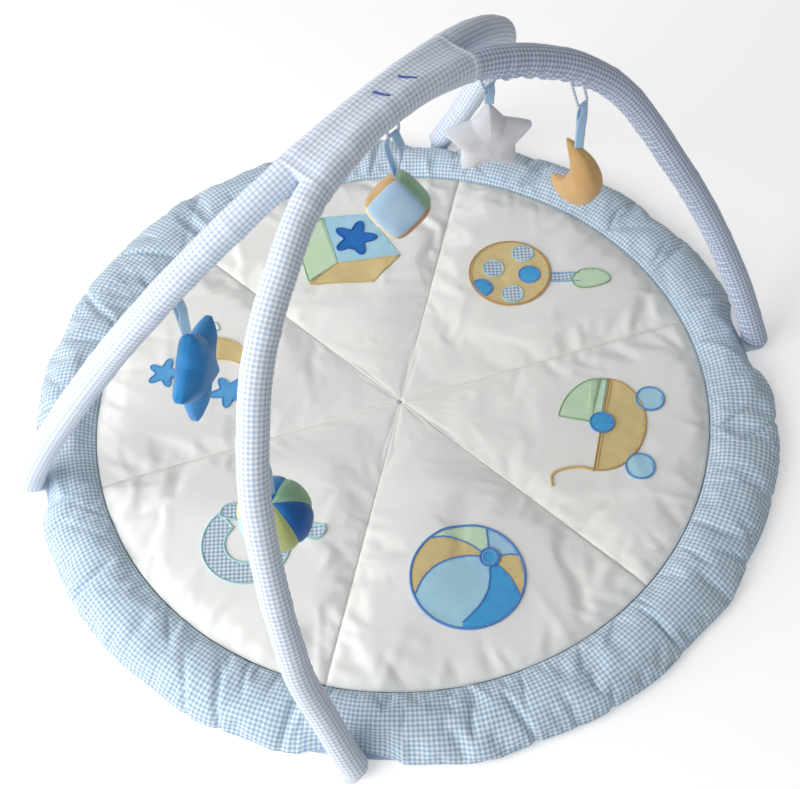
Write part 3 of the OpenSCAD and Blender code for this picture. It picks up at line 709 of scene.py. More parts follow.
def border():
    """Gathered ring spun from its section, with the dents of the four feet"""
    section = (
        (0, 0.1), (0.0, 0.5), (0.05, 0.73), (0.2, 0.9), (0.42, 0.95),
        (0.68, 0.85), (0.88, 0.58), (0.985, 0.28), (1, 0.12), (0.93, 0),
    )
    steps, dent, dent_w = 1000, 12 * MM, 56 * MM
    line = smooth_line([(MIDDLE_R + BORDER_W * a, 0, BACKING_TOP + BORDER_H * h) for a, h in section], 4)
    bm, along, across = new_cloth()
    reach = 0.0
    verts = []
    for i, p in enumerate(line):
        reach += (p - line[i - 1]).length if i else 0
        verts.append(bm.verts.new(p))
        verts[-1][across] = reach
    for a, b in zip(verts, verts[1:] + verts[:1]):
        bm.edges.new((a, b))
    spin(bm, (0, 0, 0), (0, 0, 1), math.tau, steps, use_merge=True)
    round_length = 2 * CHECK * round(math.pi * (MIDDLE_R + MAT_R) / (2 * CHECK))
    rim_folds, seam_folds, ridges = creases(38, 1), creases(46, 20), creases(27, 40)
    for v in bm.verts:
        angle = math.atan2(v.co.y, v.co.x)
        v[along] = angle / math.tau * round_length
        r = v.co.to_2d().length
        out = (r - MIDDLE_R) / BORDER_W
        up = (v.co.z - BACKING_TOP) / BORDER_H
        press = foot_turn(angle) * MAT_R / dent_w
        pressed = dent * math.cos(press * math.pi / 2) ** 0.7 if press < 1 else 0
        spare = ease(press - 0.7)
        rim_pinch = pinch(angle, out, rim_folds, 4.6 * MM, True) * spare
        seam_pinch = pinch(angle, out, seam_folds, 4.2 * MM, False)
        seam_pinch -= 0.8 * pinch(angle, out, ridges, 7 * MM, False)
        wave = noise.noise((5 * math.cos(angle), 5 * math.sin(angle), 2.2 * out)) * 2.6
        wave += noise.noise((12 * math.cos(angle), 12 * math.sin(angle), 5 * out)) * 1.6
        swell = (4 + 8 * bulge(angle, 95, 30) + 6 * bulge(angle, -47, 26) + 2 * bulge(angle, 170, 30)) * spare
        scallop = 1.3 * math.sin(17 * angle + 1) + 1.0 * math.sin(26 * angle + 2)
        outward = (swell + scallop * spare - 3 * rim_pinch) * MM
        shift = -pressed * ease((out - 0.55) / 0.4) + outward * ease((out - 0.25) / 0.7)
        v.co.xy *= (r + shift) / r
        v.co.z += (wave - 4.5 * rim_pinch - 3.4 * seam_pinch) * MM * up
    set_uv(bm, along, across, length=round_length)
    face_out(bm)
    bm.verts.index_update()
    low, inner = BACKING_TOP + 6 * MM, MIDDLE_R + 1.5 * MM
    held = [v.index for v in bm.verts if v.co.z < low or v.co.to_2d().length < inner]
    piece = new_piece("mat_border_cloth", bm, [BORDER_CLOTH], "mat", "mat_border", slot="border_gingham")
    make_cloth(piece, held, 1.2, 0.04)
    return piece


def panel_cap(place):
    """How far a point of a wedge may move: little beside the middle of the mat"""
    return 0.4 * MM + 4.6 * MM * ease((place.to_2d().length - 25 * MM) / (130 * MM))


def border_cap(place):
    """How far a point of the border may move: little beside a foot"""
    return 1.0 * MM + 5 * MM * ease(foot_turn(math.atan2(place.y, place.x)) * MAT_R / (70 * MM))


def disc(name, r, low, high, material, node_name, slot):
    """Round layer of the mat with a soft edge"""
    bm = bmesh.new()
    base = Matrix.Translation((0, 0, low))
    bmesh.ops.create_circle(bm, cap_ends=True, segments=180, radius=r, matrix=base)
    thicken(bm, high - low, (high - low) * 0.3)
    face_out(bm)
    return new_piece(name, bm, [material], "mat", node_name, slot=slot)


place_camera()
panels = [panel(index) for index in range(6)]
border_piece = border()
run_cloth({**{piece: panel_cap for piece in panels}, border_piece: border_cap})
for piece in panels:
    close_panel(piece)
disc("mat_backing_cloth", BACKING_R, 0, BACKING_TOP, BACKING_CLOTH, "mat_backing", "backing_cloth")
wadding = disc("mat_wadding_disc", MIDDLE_R - 1 * MM, BACKING_TOP, WADDING_TOP, FIBRE, "mat_wadding", "wadding")


# Arches


def arch_matrix(side):
    """Arch plane to the frame: x along the top sleeve, y up the plane from the apex, z out of it"""
    front = Matrix.Translation((0, -HALF_GAP, ARCH_H)) @ Matrix.Rotation(math.pi / 2 - ARCH_LEAN, 4, "X")
    return front if side == FRONT else Matrix.Scale(-1, 4, (0, 1, 0)) @ front


def arch_point(side, angle, off):
    """Point on an arch at an angle from its apex, moved by off towards the inside of the bend"""
    r = ARCH_R - off
    return arch_matrix(side) @ Vector((r * math.sin(angle), r * math.cos(angle) - ARCH_R, 0))


def settle(name, along):
    """How far a leg's cloth and padding have moved from the middle of its rod, at a place along it"""
    def past(start, length):
        return ease((along - start * MM) / (length * MM))

    def before(end, length):
        return ease((end * MM - along) / (length * MM))

    if name == "front_left":
        upper = Vector((5.2, -5.6, 0)) * past(112, 90) * before(420, 90)
        lower = Vector((0, -6, 0)) * past(350, 80) * before(650, 110)
        foot = Vector((7, 0, 0)) * past(590, 110)
        return (upper + lower + foot) * MM
    if name == "front_right":
        return Vector((5.4, -1.2, 2.6)) * MM * math.sin(math.pi * past(150, 330))
    if name == "back_right":
        return Vector((-1, 0, -7)) * MM * math.sin(math.pi * past(112, 330))
    return Vector()


def bent_tube(r, leg_turn, sides, step):
    """Tube in the arch plane from the top sleeve down: spun round the top radius and then round the leg's"""
    bm, along, across = new_cloth()
    top_centre = Vector((0, -ARCH_R, 0))
    radial = Vector((math.sin(SLEEVE_TURN), math.cos(SLEEVE_TURN), 0))
    tangent = Vector((math.cos(SLEEVE_TURN), -math.sin(SLEEVE_TURN), 0))
    turn = Matrix((radial, Vector((0, 0, 1)), tangent)).transposed().to_4x4()
    start = Matrix.Translation(top_centre + ARCH_R * radial) @ turn
    bmesh.ops.create_circle(bm, segments=sides, radius=r, matrix=start)
    top = ARCH_TURN - SLEEVE_TURN
    last = spin(bm, top_centre, (0, 0, -1), top, round(ARCH_R * top / step))
    spin(bm, LEG_CENTRE.to_3d(), (0, 0, -1), leg_turn, round(LEG_R * leg_turn / step), geom=last)
    for v in bm.verts:
        bend_r, first = ARCH_R, 0.0
        from_centre = v.co.to_2d() - top_centre.to_2d()
        if math.atan2(from_centre.x, from_centre.y) > ARCH_TURN:
            bend_r, first = LEG_R, (ARCH_R - LEG_R) * ARCH_TURN
            from_centre = v.co.to_2d() - LEG_CENTRE
        v[along] = first + bend_r * math.atan2(from_centre.x, from_centre.y)
        v[across] = r * math.atan2(v.co.z, from_centre.length - bend_r)
    face_out(bm)
    return bm, along, across


def to_arch(bm, side, hand):
    move(bm, (0, 0, 0), arch_matrix(side) @ Matrix.Scale(hand, 4, (1, 0, 0)))
    face_out(bm)


def pucker(along, across, seed):
    """Small gathers in a leg's cloth: soft lumps, slack wrinkles, and pleats along its seam inside the bend"""
    lumps = noise.noise((along * 26, across * 40, seed)) * 0.6
    wrinkles = max(0, noise.noise((along * 70, across * 18, seed + 4)) - 0.1) * 1.4
    to_seam = math.pi * TUBE_R - abs(across)
    pleats = math.sin(along * math.tau / (9 * MM) + 3 * noise.noise((along * 30, seed, 0)))
    return (lumps + wrinkles + hump(to_seam / (8 * MM)) * (1.3 * pleats - 0.6)) * MM


def ruffle(along, across):
    """Loose cloth along the underside of the front right arch"""
    here = ease((along - 110 * MM) / (40 * MM)) * ease((330 * MM - along) / (90 * MM))
    under = hump((math.pi * TUBE_R - abs(across)) / (15 * MM))
    waves = math.sin(along * math.tau / (17 * MM) + 4 * noise.noise((along * 20, 1, 1)))
    folds = noise.noise((along * 95, across * 12, 3)) + 0.7 * waves
    return here * under * (2.6 + 3.2 * folds) * MM


def leg_cloth(name, side, hand):
    """Padded leg: a bent tube whose end is cut flat above its tab and rounded"""
    bm, along, across = bent_tube(TUBE_R, LEG_TURN, sides=28, step=2.4 * MM)
    seed = 7 * side + 3 * hand
    update_normals(bm)
    for v in bm.verts:
        loose = ruffle(v[along], v[across]) if name == "front_right" else 0
        v.co += v.normal * (pucker(v[along], v[across], seed) + loose)
    set_uv(bm, along, across, girth=math.tau * TUBE_R)
    to_arch(bm, side, hand)
    # The last rings are sheared along the leg until the end lies level
    foot_along = ARCH_R * ARCH_TURN + LEG_R * LEG_TURN
    sheared, edge_up = 45 * MM, 5 * MM
    bend = ARCH_TURN + 0.9 * LEG_TURN
    above = Vector((hand * (LEG_CENTRE.x + LEG_R * math.sin(bend)), LEG_CENTRE.y + LEG_R * math.cos(bend), 0))
    way = (Vector((hand * FOOT.x, side * FOOT.y, FOOT.z)) - arch_matrix(side) @ above).normalized()
    edge_z = FOOT.z + edge_up
    for v in bm.verts:
        share = ease(1 - (foot_along - v[along]) / sheared)
        if share > 0:
            axis_z = FOOT.z - way.z * (foot_along - v[along])
            v.co += way * (share * (edge_z - FOOT.z - (v.co.z - axis_z)) / way.z)
        v.co += settle(name, v[along])
    ring = [e for e in boundary(bm) if e.verts[0].co.z < 0.1]
    for scale, drop in ((0.95, 2.6), (0.84, 1.6), (0.6, 0.8)):
        verts, ring = extrude(bm, ring)
        middle = sum((v.co for v in verts), Vector()) / len(verts)
        for v in verts:
            v.co.xy = middle.xy + scale * (v.co.xy - middle.xy)
            v.co.z -= drop * MM
    close(bm, ring)
    # The front right leg wears the darker copy of the arch cloth: painted shade
    cloth = PAINTED_SHADE_CLOTH if name == "front_right" else ARCH_CLOTH
    piece = new_piece(name + "_sleeve_cloth", bm, [cloth], "arches", name + "_sleeve", slot="arch_gingham")
    soften(piece)


def leg_filling(name, side, hand):
    """Fibre round the rod, inside the leg's cloth"""
    bm, along, _ = bent_tube(TUBE_R - 3.4 * MM, LEG_TURN - 12 * MM / LEG_R, sides=16, step=14 * MM)
    bmesh.ops.holes_fill(bm, edges=boundary(bm), sides=0)
    to_arch(bm, side, hand)
    for v in bm.verts:
        v.co += settle(name, v[along])
    piece = new_piece(name + "_padding_fibre", bm, [FIBRE], "arches", name + "_padding", slot="wadding")


def top_sleeve_cloth():
    """Wide sleeve round both arches: a tube spun along the top, parted to the two sides and joined by flat cloth"""
    bm, along, across = new_cloth()
    r, sides, hem = SLEEVE_R, 32, 7 * MM
    ring = bmesh.ops.create_circle(bm, segments=sides, radius=1, matrix=Matrix.Rotation(math.pi / sides, 4, "Z"))
    for v in ring["verts"]:
        turn = math.atan2(v.co.y, v.co.x)
        v[across] = r * turn
        v.co = Vector((0, r * math.cos(turn), r * math.sin(turn) / math.cos(ARCH_LEAN)))
    centre = (0, 0, -ARCH_R)
    bmesh.ops.rotate(bm, cent=centre, matrix=Matrix.Rotation(-SLEEVE_TURN, 3, "Y"), verts=bm.verts[:])
    spin(bm, centre, (0, 1, 0), 2 * SLEEVE_TURN, 80)
    crossing = [e for e in bm.edges if e.verts[0].co.y * e.verts[1].co.y < 0]
    bmesh.ops.subdivide_edges(bm, edges=crossing, cuts=7, use_grid_fill=True)
    edge_y = r * math.sin(math.pi / sides)

    def apart_at(angle):
        return HALF_GAP + ARCH_R * (1 - math.cos(angle)) * math.sin(ARCH_LEAN)

    for v in bm.verts:
        angle = math.atan2(v.co.x, v.co.z + ARCH_R)
        v[along] = ARCH_R * angle
        apart = apart_at(angle)
        up = Vector((math.sin(angle), 0, math.cos(angle)))
        face = math.copysign(1, (v.co - ARCH_R * up + Vector((0, 0, ARCH_R))).dot(up))
        share = v.co.y / edge_y
        if abs(share) < 1:
            v.co.y = share * (apart + edge_y)
            v.co -= up * (face * 1.6 * MM * (1 - share * share))
            v[across] = face * math.pi / 2 * r - share * (apart + edge_y) * face
        else:
            v.co.y += math.copysign(apart, v.co.y)
            v[across] -= math.copysign(apart, v.co.y) * face
        v.co.z = ARCH_H + v.co.z * math.cos(ARCH_LEAN)
    # Flaps turned in at both ends close the cloth on the two arches
    apart = apart_at(SLEEVE_TURN)
    web = [e for e in boundary(bm) if all(abs(v.co.y) < apart + edge_y * 1.01 for v in e.verts)]
    for v in extrude(bm, web)[0]:
        fall = max(r * r - (apart - abs(v.co.y)) ** 2, 0) ** 0.5 - r
        if v[across] <= 0:
            fall = -fall
        v.co += Vector((-math.copysign(1.5 * MM, v.co.x), 0, fall * 0.96))
        v[across] -= fall
    set_uv(bm, along, across)
    face_out(bm)
    update_normals(bm)
    for v in bm.verts:
        from_end = ARCH_R * SLEEVE_TURN - abs(v[along])
        stitched_in = 0.9 * hump((from_end - hem) / (1.6 * MM))
        lumps = noise.noise((v.co.x * 30, v.co.y * 55, 5)) * 0.8
        lumps += max(0, noise.noise((v.co.x * 60, v.co.y * 22, 8)) - 0.1) * 1.5
        v.co += v.normal * (lumps * ease(from_end / hem) - stitched_in + (0.5 if from_end < hem else 0)) * MM
    piece = new_piece("top_sleeve_cloth", bm, [ARCH_CLOTH], "arches", "top_sleeve", slot="arch_gingham")
    soften(piece)


def tuck(name, start, end):
    """Short dark thread tube across the top sleeve, painted shade for a pinched tuck in the cloth; each end is an
    angle along it and a place across
    """
    path = []
    bend_r = ARCH_R * math.cos(ARCH_LEAN)
    for k in range(9):
        angle, y = (a + (b - a) * k / 8 for a, b in zip(start, end))
        angle = math.radians(angle)
        top = (bend_r + TUBE_R + 0.3 * MM) * math.cos(angle) - bend_r
        path.append((ARCH_R * math.sin(angle), y * MM, ARCH_H + top - 0.6 * MM * math.sin(math.pi * k / 8)))
    soften(new_piece(name, tube(path, 1.3 * MM, sides=8), [PAINTED_TUCK_SHADE], "arches", slot="arch_gingham"))


for name, (side, hand) in FEET.items():
    leg_cloth(name, side, hand)
    leg_filling(name, side, hand)
top_sleeve_cloth()
tuck("top_sleeve_tuck_1", (5, 3), (7, -12))
tuck("top_sleeve_tuck_2", (-0.5, 6), (0.75, -10))


# Hanging loops


def hanging(toy):
    """Middle of a toy's tie and the lower end of its ribbon"""
    low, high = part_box(toy + "_ribbon_loop")
    middle = (low + high) / 2
    return Vector((middle.x, middle.y, high.z - TIE_R - TIE_ROOM)), Vector((middle.x, middle.y, low.z))


def tie(toy, side):
    """Narrow rolled gingham strip, both ends sewn into the arch's cloth, that a ribbon is looped over"""
    bar, _ = hanging(toy)
    out, bend = RIBBON_W / 2 + 0.8 * MM + TIE_R, 1.6 * MM
    halves = []
    for hand in (LEFT, RIGHT):
        end = arch_point(side, math.asin((bar.x + hand * out) / ARCH_R), TUBE_R * 0.5)
        corner = bar + Vector((hand * out, 0, 0))
        above, beside = corner + (end - corner).normalized() * bend, corner - Vector((hand * bend, 0, 0))
        halves.append([end, corner.lerp(end, 0.5), above, beside])
    bm = tube(halves[0] + [bar] + halves[1][::-1], TIE_R)
    piece = new_piece(toy + "_tie_strip", bm, [ARCH_CLOTH], "arches", toy + "_tie", slot="arch_gingham")
    soften(piece)
    return piece


def ribbon(toy, spread, twist):
    """Satin ribbon folded over its tie and twisted below it, its two ends sewn into the toy"""
    bar, end = hanging(toy)
    length = bar.z - end.z
    r = TIE_R + RIBBON_T
    # How far down the ribbon, and how far out each half of it hangs there
    fall = (
        (0.0, r),
        (0.1, r + 0.5 * spread),
        (0.26, r + spread),
        (0.5, 0.8 * r + 0.8 * spread),
        (0.78, 0.45 * r + 0.35 * spread),
        (1.0, RIBBON_T),
    )
    half = [(out, -share * length) for share, out in fall]
    over = [around(r, math.radians(30 * k)) for k in range(1, 6)]
    line = smooth_line(half[::-1], 5) + over + smooth_line([(-y, z) for y, z in half], 5)
    bm, along, across = new_cloth()
    start = bar + Vector((0, line[0].x, line[0].y))
    ends = [bm.verts.new(start + Vector((hand * RIBBON_W / 2, 0, 0))) for hand in (LEFT, RIGHT)]
    bmesh.ops.subdivide_edges(bm, edges=[bm.edges.new(ends)], cuts=3)
    for v in bm.verts:
        v[across] = v.co.x - bar.x
    edges = bm.edges[:]
    travelled = 0.0
    for before, here in zip(line, line[1:]):
        verts, edges = extrude(bm, edges)
        bmesh.ops.translate(bm, verts=verts, vec=(0, here.x - before.x, here.y - before.y))
        travelled += (here - before).length
        for v in verts:
            v[along] = travelled
    for v in bm.verts:
        turn = Matrix.Rotation(twist * ease((bar.z - v.co.z - r) / (0.45 * length)), 2)
        v.co.xy = bar.xy + turn @ (v.co.xy - bar.xy)
    set_uv(bm, across, along)
    face_out(bm)
    name = toy + "_ribbon"
    piece = new_piece(name, bm, [RIBBON_SATIN], name, name + "_loop", slot="satin_ribbon")
    wall = piece.modifiers.new("cloth", "SOLIDIFY")
    wall.thickness = RIBBON_T
    wall.offset = 0
    return piece, travelled


# Toys


def stuffed(toy, bm, materials, slot):
    """Cover of a soft toy"""
    piece = new_piece(toy + "_toy_cover", bm, materials, toy + "_toy", toy + "_cover", slot=slot)
    soften(piece)
    return piece


def stuffing(toy, cover):
    """Fibre inside a toy: its cover's shape, drawn in from all sides"""
    bm = bmesh.new()
    bm.from_mesh(cover.data)
    face_out(bm)
    if toy == "moon":
        update_normals(bm)
        for v in bm.verts:
            v.co -= v.normal * 2.2 * MM
    else:
        low, high = (Vector(pick(v.co[k] for v in bm.verts) for k in range(3)) for pick in (min, max))
        about = Matrix.Translation(-(low + high) / 2)
        bmesh.ops.scale(bm, vec=(0.9, 0.9, 0.9), space=about, verts=bm.verts[:])
    for face in bm.faces:
        face.material_index = 0
    piece = new_piece(toy + "_toy_fibre", bm, [FIBRE], toy + "_toy", toy + "_filling", slot="wadding")


def ball_cover():
    """Ball of six gores, puffed between sewn seams"""
    low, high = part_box("ball_cover")
    r = (high.z - low.z) / 2
    gore = math.radians(60)
    bm = bmesh.new()
    bmesh.ops.create_uvsphere(bm, u_segments=72, v_segments=36, radius=r)
    for face in bm.faces:
        middle = face.calc_center_median()
        face.material_index = int((math.atan2(middle.y, middle.x) % math.tau) / gore) % 6
    for v in bm.verts:
        azimuth = math.atan2(v.co.y, v.co.x) % gore
        away = min(azimuth, gore - azimuth) * v.co.to_2d().length
        groove = 1.5 * hump(away / (2.2 * MM)) + 0.8 * hump(away / (6 * MM))
        v.co *= (r - (groove + 0.25 * noise.noise(v.co * 60)) * MM) / r
    _, end = hanging("ball")
    turn = Matrix.Rotation(math.radians(-37), 4, "Z") @ Matrix.Rotation(math.radians(12), 4, "X")
    move(bm, end - Vector((0, 0, TOY_GAP + r)), turn)
    gores = [SAGE_PLUSH, BLUE_PLUSH, LEMON_PLUSH, SKY_PLUSH, LIME_PLUSH, DEEP_PLUSH]
    return stuffed("ball", bm, gores, "blue_felt")


def star_cover(toy, reach, turn, material, slot):
    """Plump star of two faces sewn together round their edge, hung by a point"""
    depth, waist, blunt, steps = 17.5 * MM, 0.6, 0.035, 120
    rings = (0.995, 0.97, 0.935, 0.89, 0.84, 0.78, 0.72, 0.66, 0.6, 0.53, 0.46, 0.39, 0.32, 0.24, 0.16, 0.08)
    notch = around(waist, math.pi / 5)

    def outline(angle):
        """How far the star reaches at an angle from its nearest point"""
        straight = notch.y / (math.sin(angle) * (1 - notch.x) + math.cos(angle) * notch.y)
        return (straight - blunt * hump(math.degrees(angle) / 6)) / (1 - blunt)

    def puff(share, angle):
        """Half thickness, 0 to 1, from how far a place lies inside the two sides of its point"""
        place = (1 - blunt) * outline(angle) * share * around(1, angle)
        ahead, beside = (1 - place.x) * notch.y, place.y * (1 - notch.x)
        away = max(0, (ahead - beside) * (ahead + beside) / ahead) / notch.y
        return (1 - (1 - min(away, 1)) ** 2) ** 0.74

    bm = bmesh.new()
    spoke = bm.verts.layers.int.new("spoke")
    spokes = []
    for k, v in enumerate(bmesh.ops.create_circle(bm, segments=steps, radius=1)["verts"]):
        angle = math.atan2(v.co.x, v.co.y)
        near = abs((angle + 2.2 * math.pi) % (0.4 * math.pi) - 0.2 * math.pi)
        spokes.append((Vector((-math.sin(angle), 0, math.cos(angle))), near))
        v[spoke] = k
        v.co = spokes[k][0] * (reach * outline(near) - 0.8 * MM)
    edges = bm.edges[:]
    for share in rings:
        verts, edges = extrude(bm, edges)
        for v in verts:
            way, near = spokes[v[spoke]]
            v.co = way * (share * reach * outline(near))
            v.co.y = -depth * puff(share, near)
    bmesh.ops.holes_fill(bm, edges=edges, sides=0)
    inside = [v for v in bm.verts if not v.is_boundary and v.co.y < -0.25 * depth]
    for _ in range(18):
        bmesh.ops.smooth_vert(bm, verts=inside, factor=0.5, use_axis_y=True)
    for v in bm.verts:
        v.co.y *= 1 + 0.12 * noise.noise(Vector((v.co.x, v.co.z, 0)) * 55 + Vector((0, 0, turn)))
    bmesh.ops.mirror(bm, geom=bm.verts[:] + bm.edges[:] + bm.faces[:], merge_dist=1e-6, axis="Y")
    face_out(bm)
    _, end = hanging(toy)
    middle = Vector((end.x, end.y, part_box(toy + "_cover")[1].z - reach))
    move(bm, middle, Matrix.Rotation(turn, 4, "Z"))
    return stuffed(toy, bm, [material], slot)


def cube_cover():
    """Plump cube that hangs by a corner, each face a plush of its own, with seams along its edges"""
    half, roundness = 28 * MM, 3.7
    bm = bmesh.new()
    bmesh.ops.create_cube(bm, size=2 * half)
    bmesh.ops.subdivide_edges(bm, edges=bm.edges[:], cuts=17, use_grid_fill=True)
    for face in bm.faces:
        way = face.calc_center_median()
        axis = max(range(3), key=lambda k: abs(way[k]))
        face.material_index = axis if way[axis] > 0 else 3 + axis
    for v in bm.verts:
        sizes = sorted((abs(c) / half for c in v.co), reverse=True)
        seam = hump((sizes[0] - sizes[1]) / 0.07)
        swell = sum(c ** roundness for c in sizes) ** (1 / roundness)
        v.co *= (1 / swell) * (1 - 0.035 * seam + 0.008 * noise.noise(v.co * 90))
    _, end = hanging("cube")
    low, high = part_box("cube_cover")
    up = Vector((1, 1, 1)).normalized()
    stand = up.rotation_difference(Vector((0, 0, 1))).to_matrix().to_4x4()
    first = (stand @ Vector((1, 0, 0))).to_2d()
    turn = Matrix.Rotation(math.radians(-21) - math.atan2(first.y, first.x), 4, "Z")
    move(bm, Vector((end.x, end.y, (low.z + high.z) / 2)), turn @ stand)
    faces = [SAGE_PLUSH, TAN_PLUSH, SKY_PLUSH, CREAM_PLUSH, BROWN_PLUSH, LEMON_PLUSH]
    return stuffed("cube", bm, faces, "light_blue_felt")


def moon_cover():
    """Plump crescent that hangs from its ribbon beside its upper point"""
    back, sweep, hung_at = math.radians(-18), math.radians(112), 0.8
    r, w, t = 47 * MM, 44 * MM, 38 * MM
    sides, stations, point_from = 32, 44, 0.72

    def middle(place):
        """Middle of the crescent at a place from -1 to 1, and the way out from it"""
        way = back + sweep * place
        out = Vector((math.cos(way), 0, math.sin(way)))
        return out * (r - w / 2 + 9 * MM * place * place), out

    def plump(place):
        return math.cos(math.pi / 2 * place) ** 0.62

    bm = bmesh.new()
    spoke = bm.verts.layers.int.new("spoke")
    verts = bmesh.ops.create_circle(bm, segments=sides, radius=1)["verts"]
    edges = bm.edges[:]
    for k, v in enumerate(verts):
        v[spoke] = k
    for i in range(1, stations):
        if i > 1:
            verts, edges = extrude(bm, edges)
        place = math.sin(math.pi * (i / stations - 0.5))
        centre, out = middle(place)
        point = max(0, place - point_from) / (1 - point_from)
        for v in verts:
            turn = math.tau * v[spoke] / sides
            seam = 1 - 0.07 * hump(math.sin(turn) / 0.16)
            full = plump(place) * (1 + 0.04 * noise.noise((place * 3, math.cos(turn), math.sin(turn))))
            v.co = centre + out * (full * seam * w / 2 * math.cos(turn))
            v.co.y -= full * t / 2 * math.sin(turn)
            v.co += Vector((-3, 0, 9)) * (point * point * MM)
    close(bm)
    _, end = hanging("moon")
    hung, out = middle(hung_at)
    hung += out * (plump(hung_at) * w / 2)
    top = max(v.co.z for v in bm.verts if v.co.x > hung.x - 6 * MM)
    bmesh.ops.translate(bm, verts=bm.verts[:], vec=(-hung.x, 0, -top))
    move(bm, end - Vector((0, 0, TOY_GAP)), Matrix.Rotation(math.radians(-95), 4, "Z"))
    return stuffed("moon", bm, [TAN_PLUSH], "tan_felt")


for toy, (side, spread, twist) in TOYS.items():
    strip = tie(toy, side)
    piece, length = ribbon(toy, spread * MM, math.radians(twist))
covers = {
    "ball": ball_cover(),
    "blue_star": star_cover("blue_star", 60 * MM, math.radians(31), BLUE_PLUSH, "blue_felt"),
    "cube": cube_cover(),
    "white_star": star_cover("white_star", 48 * MM, math.radians(-40), WHITE_PLUSH, "white_plush"),
    "moon": moon_cover(),
}
for toy, cover in covers.items():
    stuffing(toy, cover)


# Feet


def foot_tab(name, side, hand):
    """White tape tab with a rounded end that carries a press stud"""
    width, thick = 24 * MM, 2 * MM
    reach = FOOT.to_2d().length
    bm = bmesh.new()
    end = Matrix.Translation((reach, 0, 0))
    bmesh.ops.create_circle(bm, cap_ends=True, segments=40, radius=width / 2, matrix=end)
    for v in bm.verts:
        if v.co.x < reach - 1e-6:
            v.co.x = max(BACKING_R + 0.3 * MM, reach - 1.7 * (reach - v.co.x) - (reach - BACKING_R))
    thicken(bm, thick, 0.5 * MM)
    turn = Matrix.Rotation(math.atan2(side * FOOT.y, hand * FOOT.x), 3, "Z")
    bmesh.ops.rotate(bm, cent=(0, 0, 0), matrix=turn, verts=bm.verts[:])
    face_out(bm)
    new_piece(name + "_tab_tape", bm, [TAPE], "mat", name + "_tab", slot="white_tape")


def finish_nodes(material, *names):
    """A finer material on a node that keeps its own shape"""
    for name in names:
        mesh = frame["nodes"][name].data
        mesh.materials.clear()
        mesh.materials.append(material)


for name, (side, hand) in FEET.items():
    foot_tab(name, side, hand)
finish_nodes(SNAP_PLASTIC, "snap_sockets", "snap_studs")
finish_nodes(ROD_PLASTIC, *(name + "_rod" for name in FEET))
finish_nodes(CAP_RUBBER, *(name + "_cap" for name in FEET))
finish_nodes(FERRULE_METAL, "front_ferrule", "back_ferrule")


# Motifs


def panel_surface():
    """All six wedges as one surface to lay pictures on"""
    bm = bmesh.new()
    for piece in panels:
        bm.from_mesh(piece.data)
    tree = BVHTree.FromBMesh(bm)
    bm.free()
    return tree


SURFACE = panel_surface()


def arc(x, y, r, start=0, turn=360):
    """Points on a circle or part of one, in mm"""
    steps = max(6, round(abs(turn) * r / 120))
    points = []
    for k in range(steps if turn == 360 else steps + 1):
        a = math.radians(start + turn * k / steps)
        points.append((x + r * math.cos(a), y + r * math.sin(a)))
    return points


def oval(x, y, wide, tall, steps):
    """Points on an oval from its top on, 9 degrees apart, in mm; a wide below 0 goes the other way round"""
    return [(x + wide * math.sin(a), y + tall * math.cos(a)) for a in (math.radians(9 * k) for k in range(steps))]


def star_outline(x, y, r, turn):
    """Points of a five-pointed star with soft tips, in mm"""
    points = []
    for k in range(60):
        a = math.radians(6 * k)
        point = (1 + math.cos(5 * a)) / 2
        reach = r * (0.5 + 0.5 * point ** 1.3)
        a += math.radians(turn)
        points.append((x + reach * math.cos(a), y + reach * math.sin(a)))
    return points


def curved(*points):
    """Smooth line through points, in mm"""
    return [tuple(p) for p in smooth_line(points, 6)]


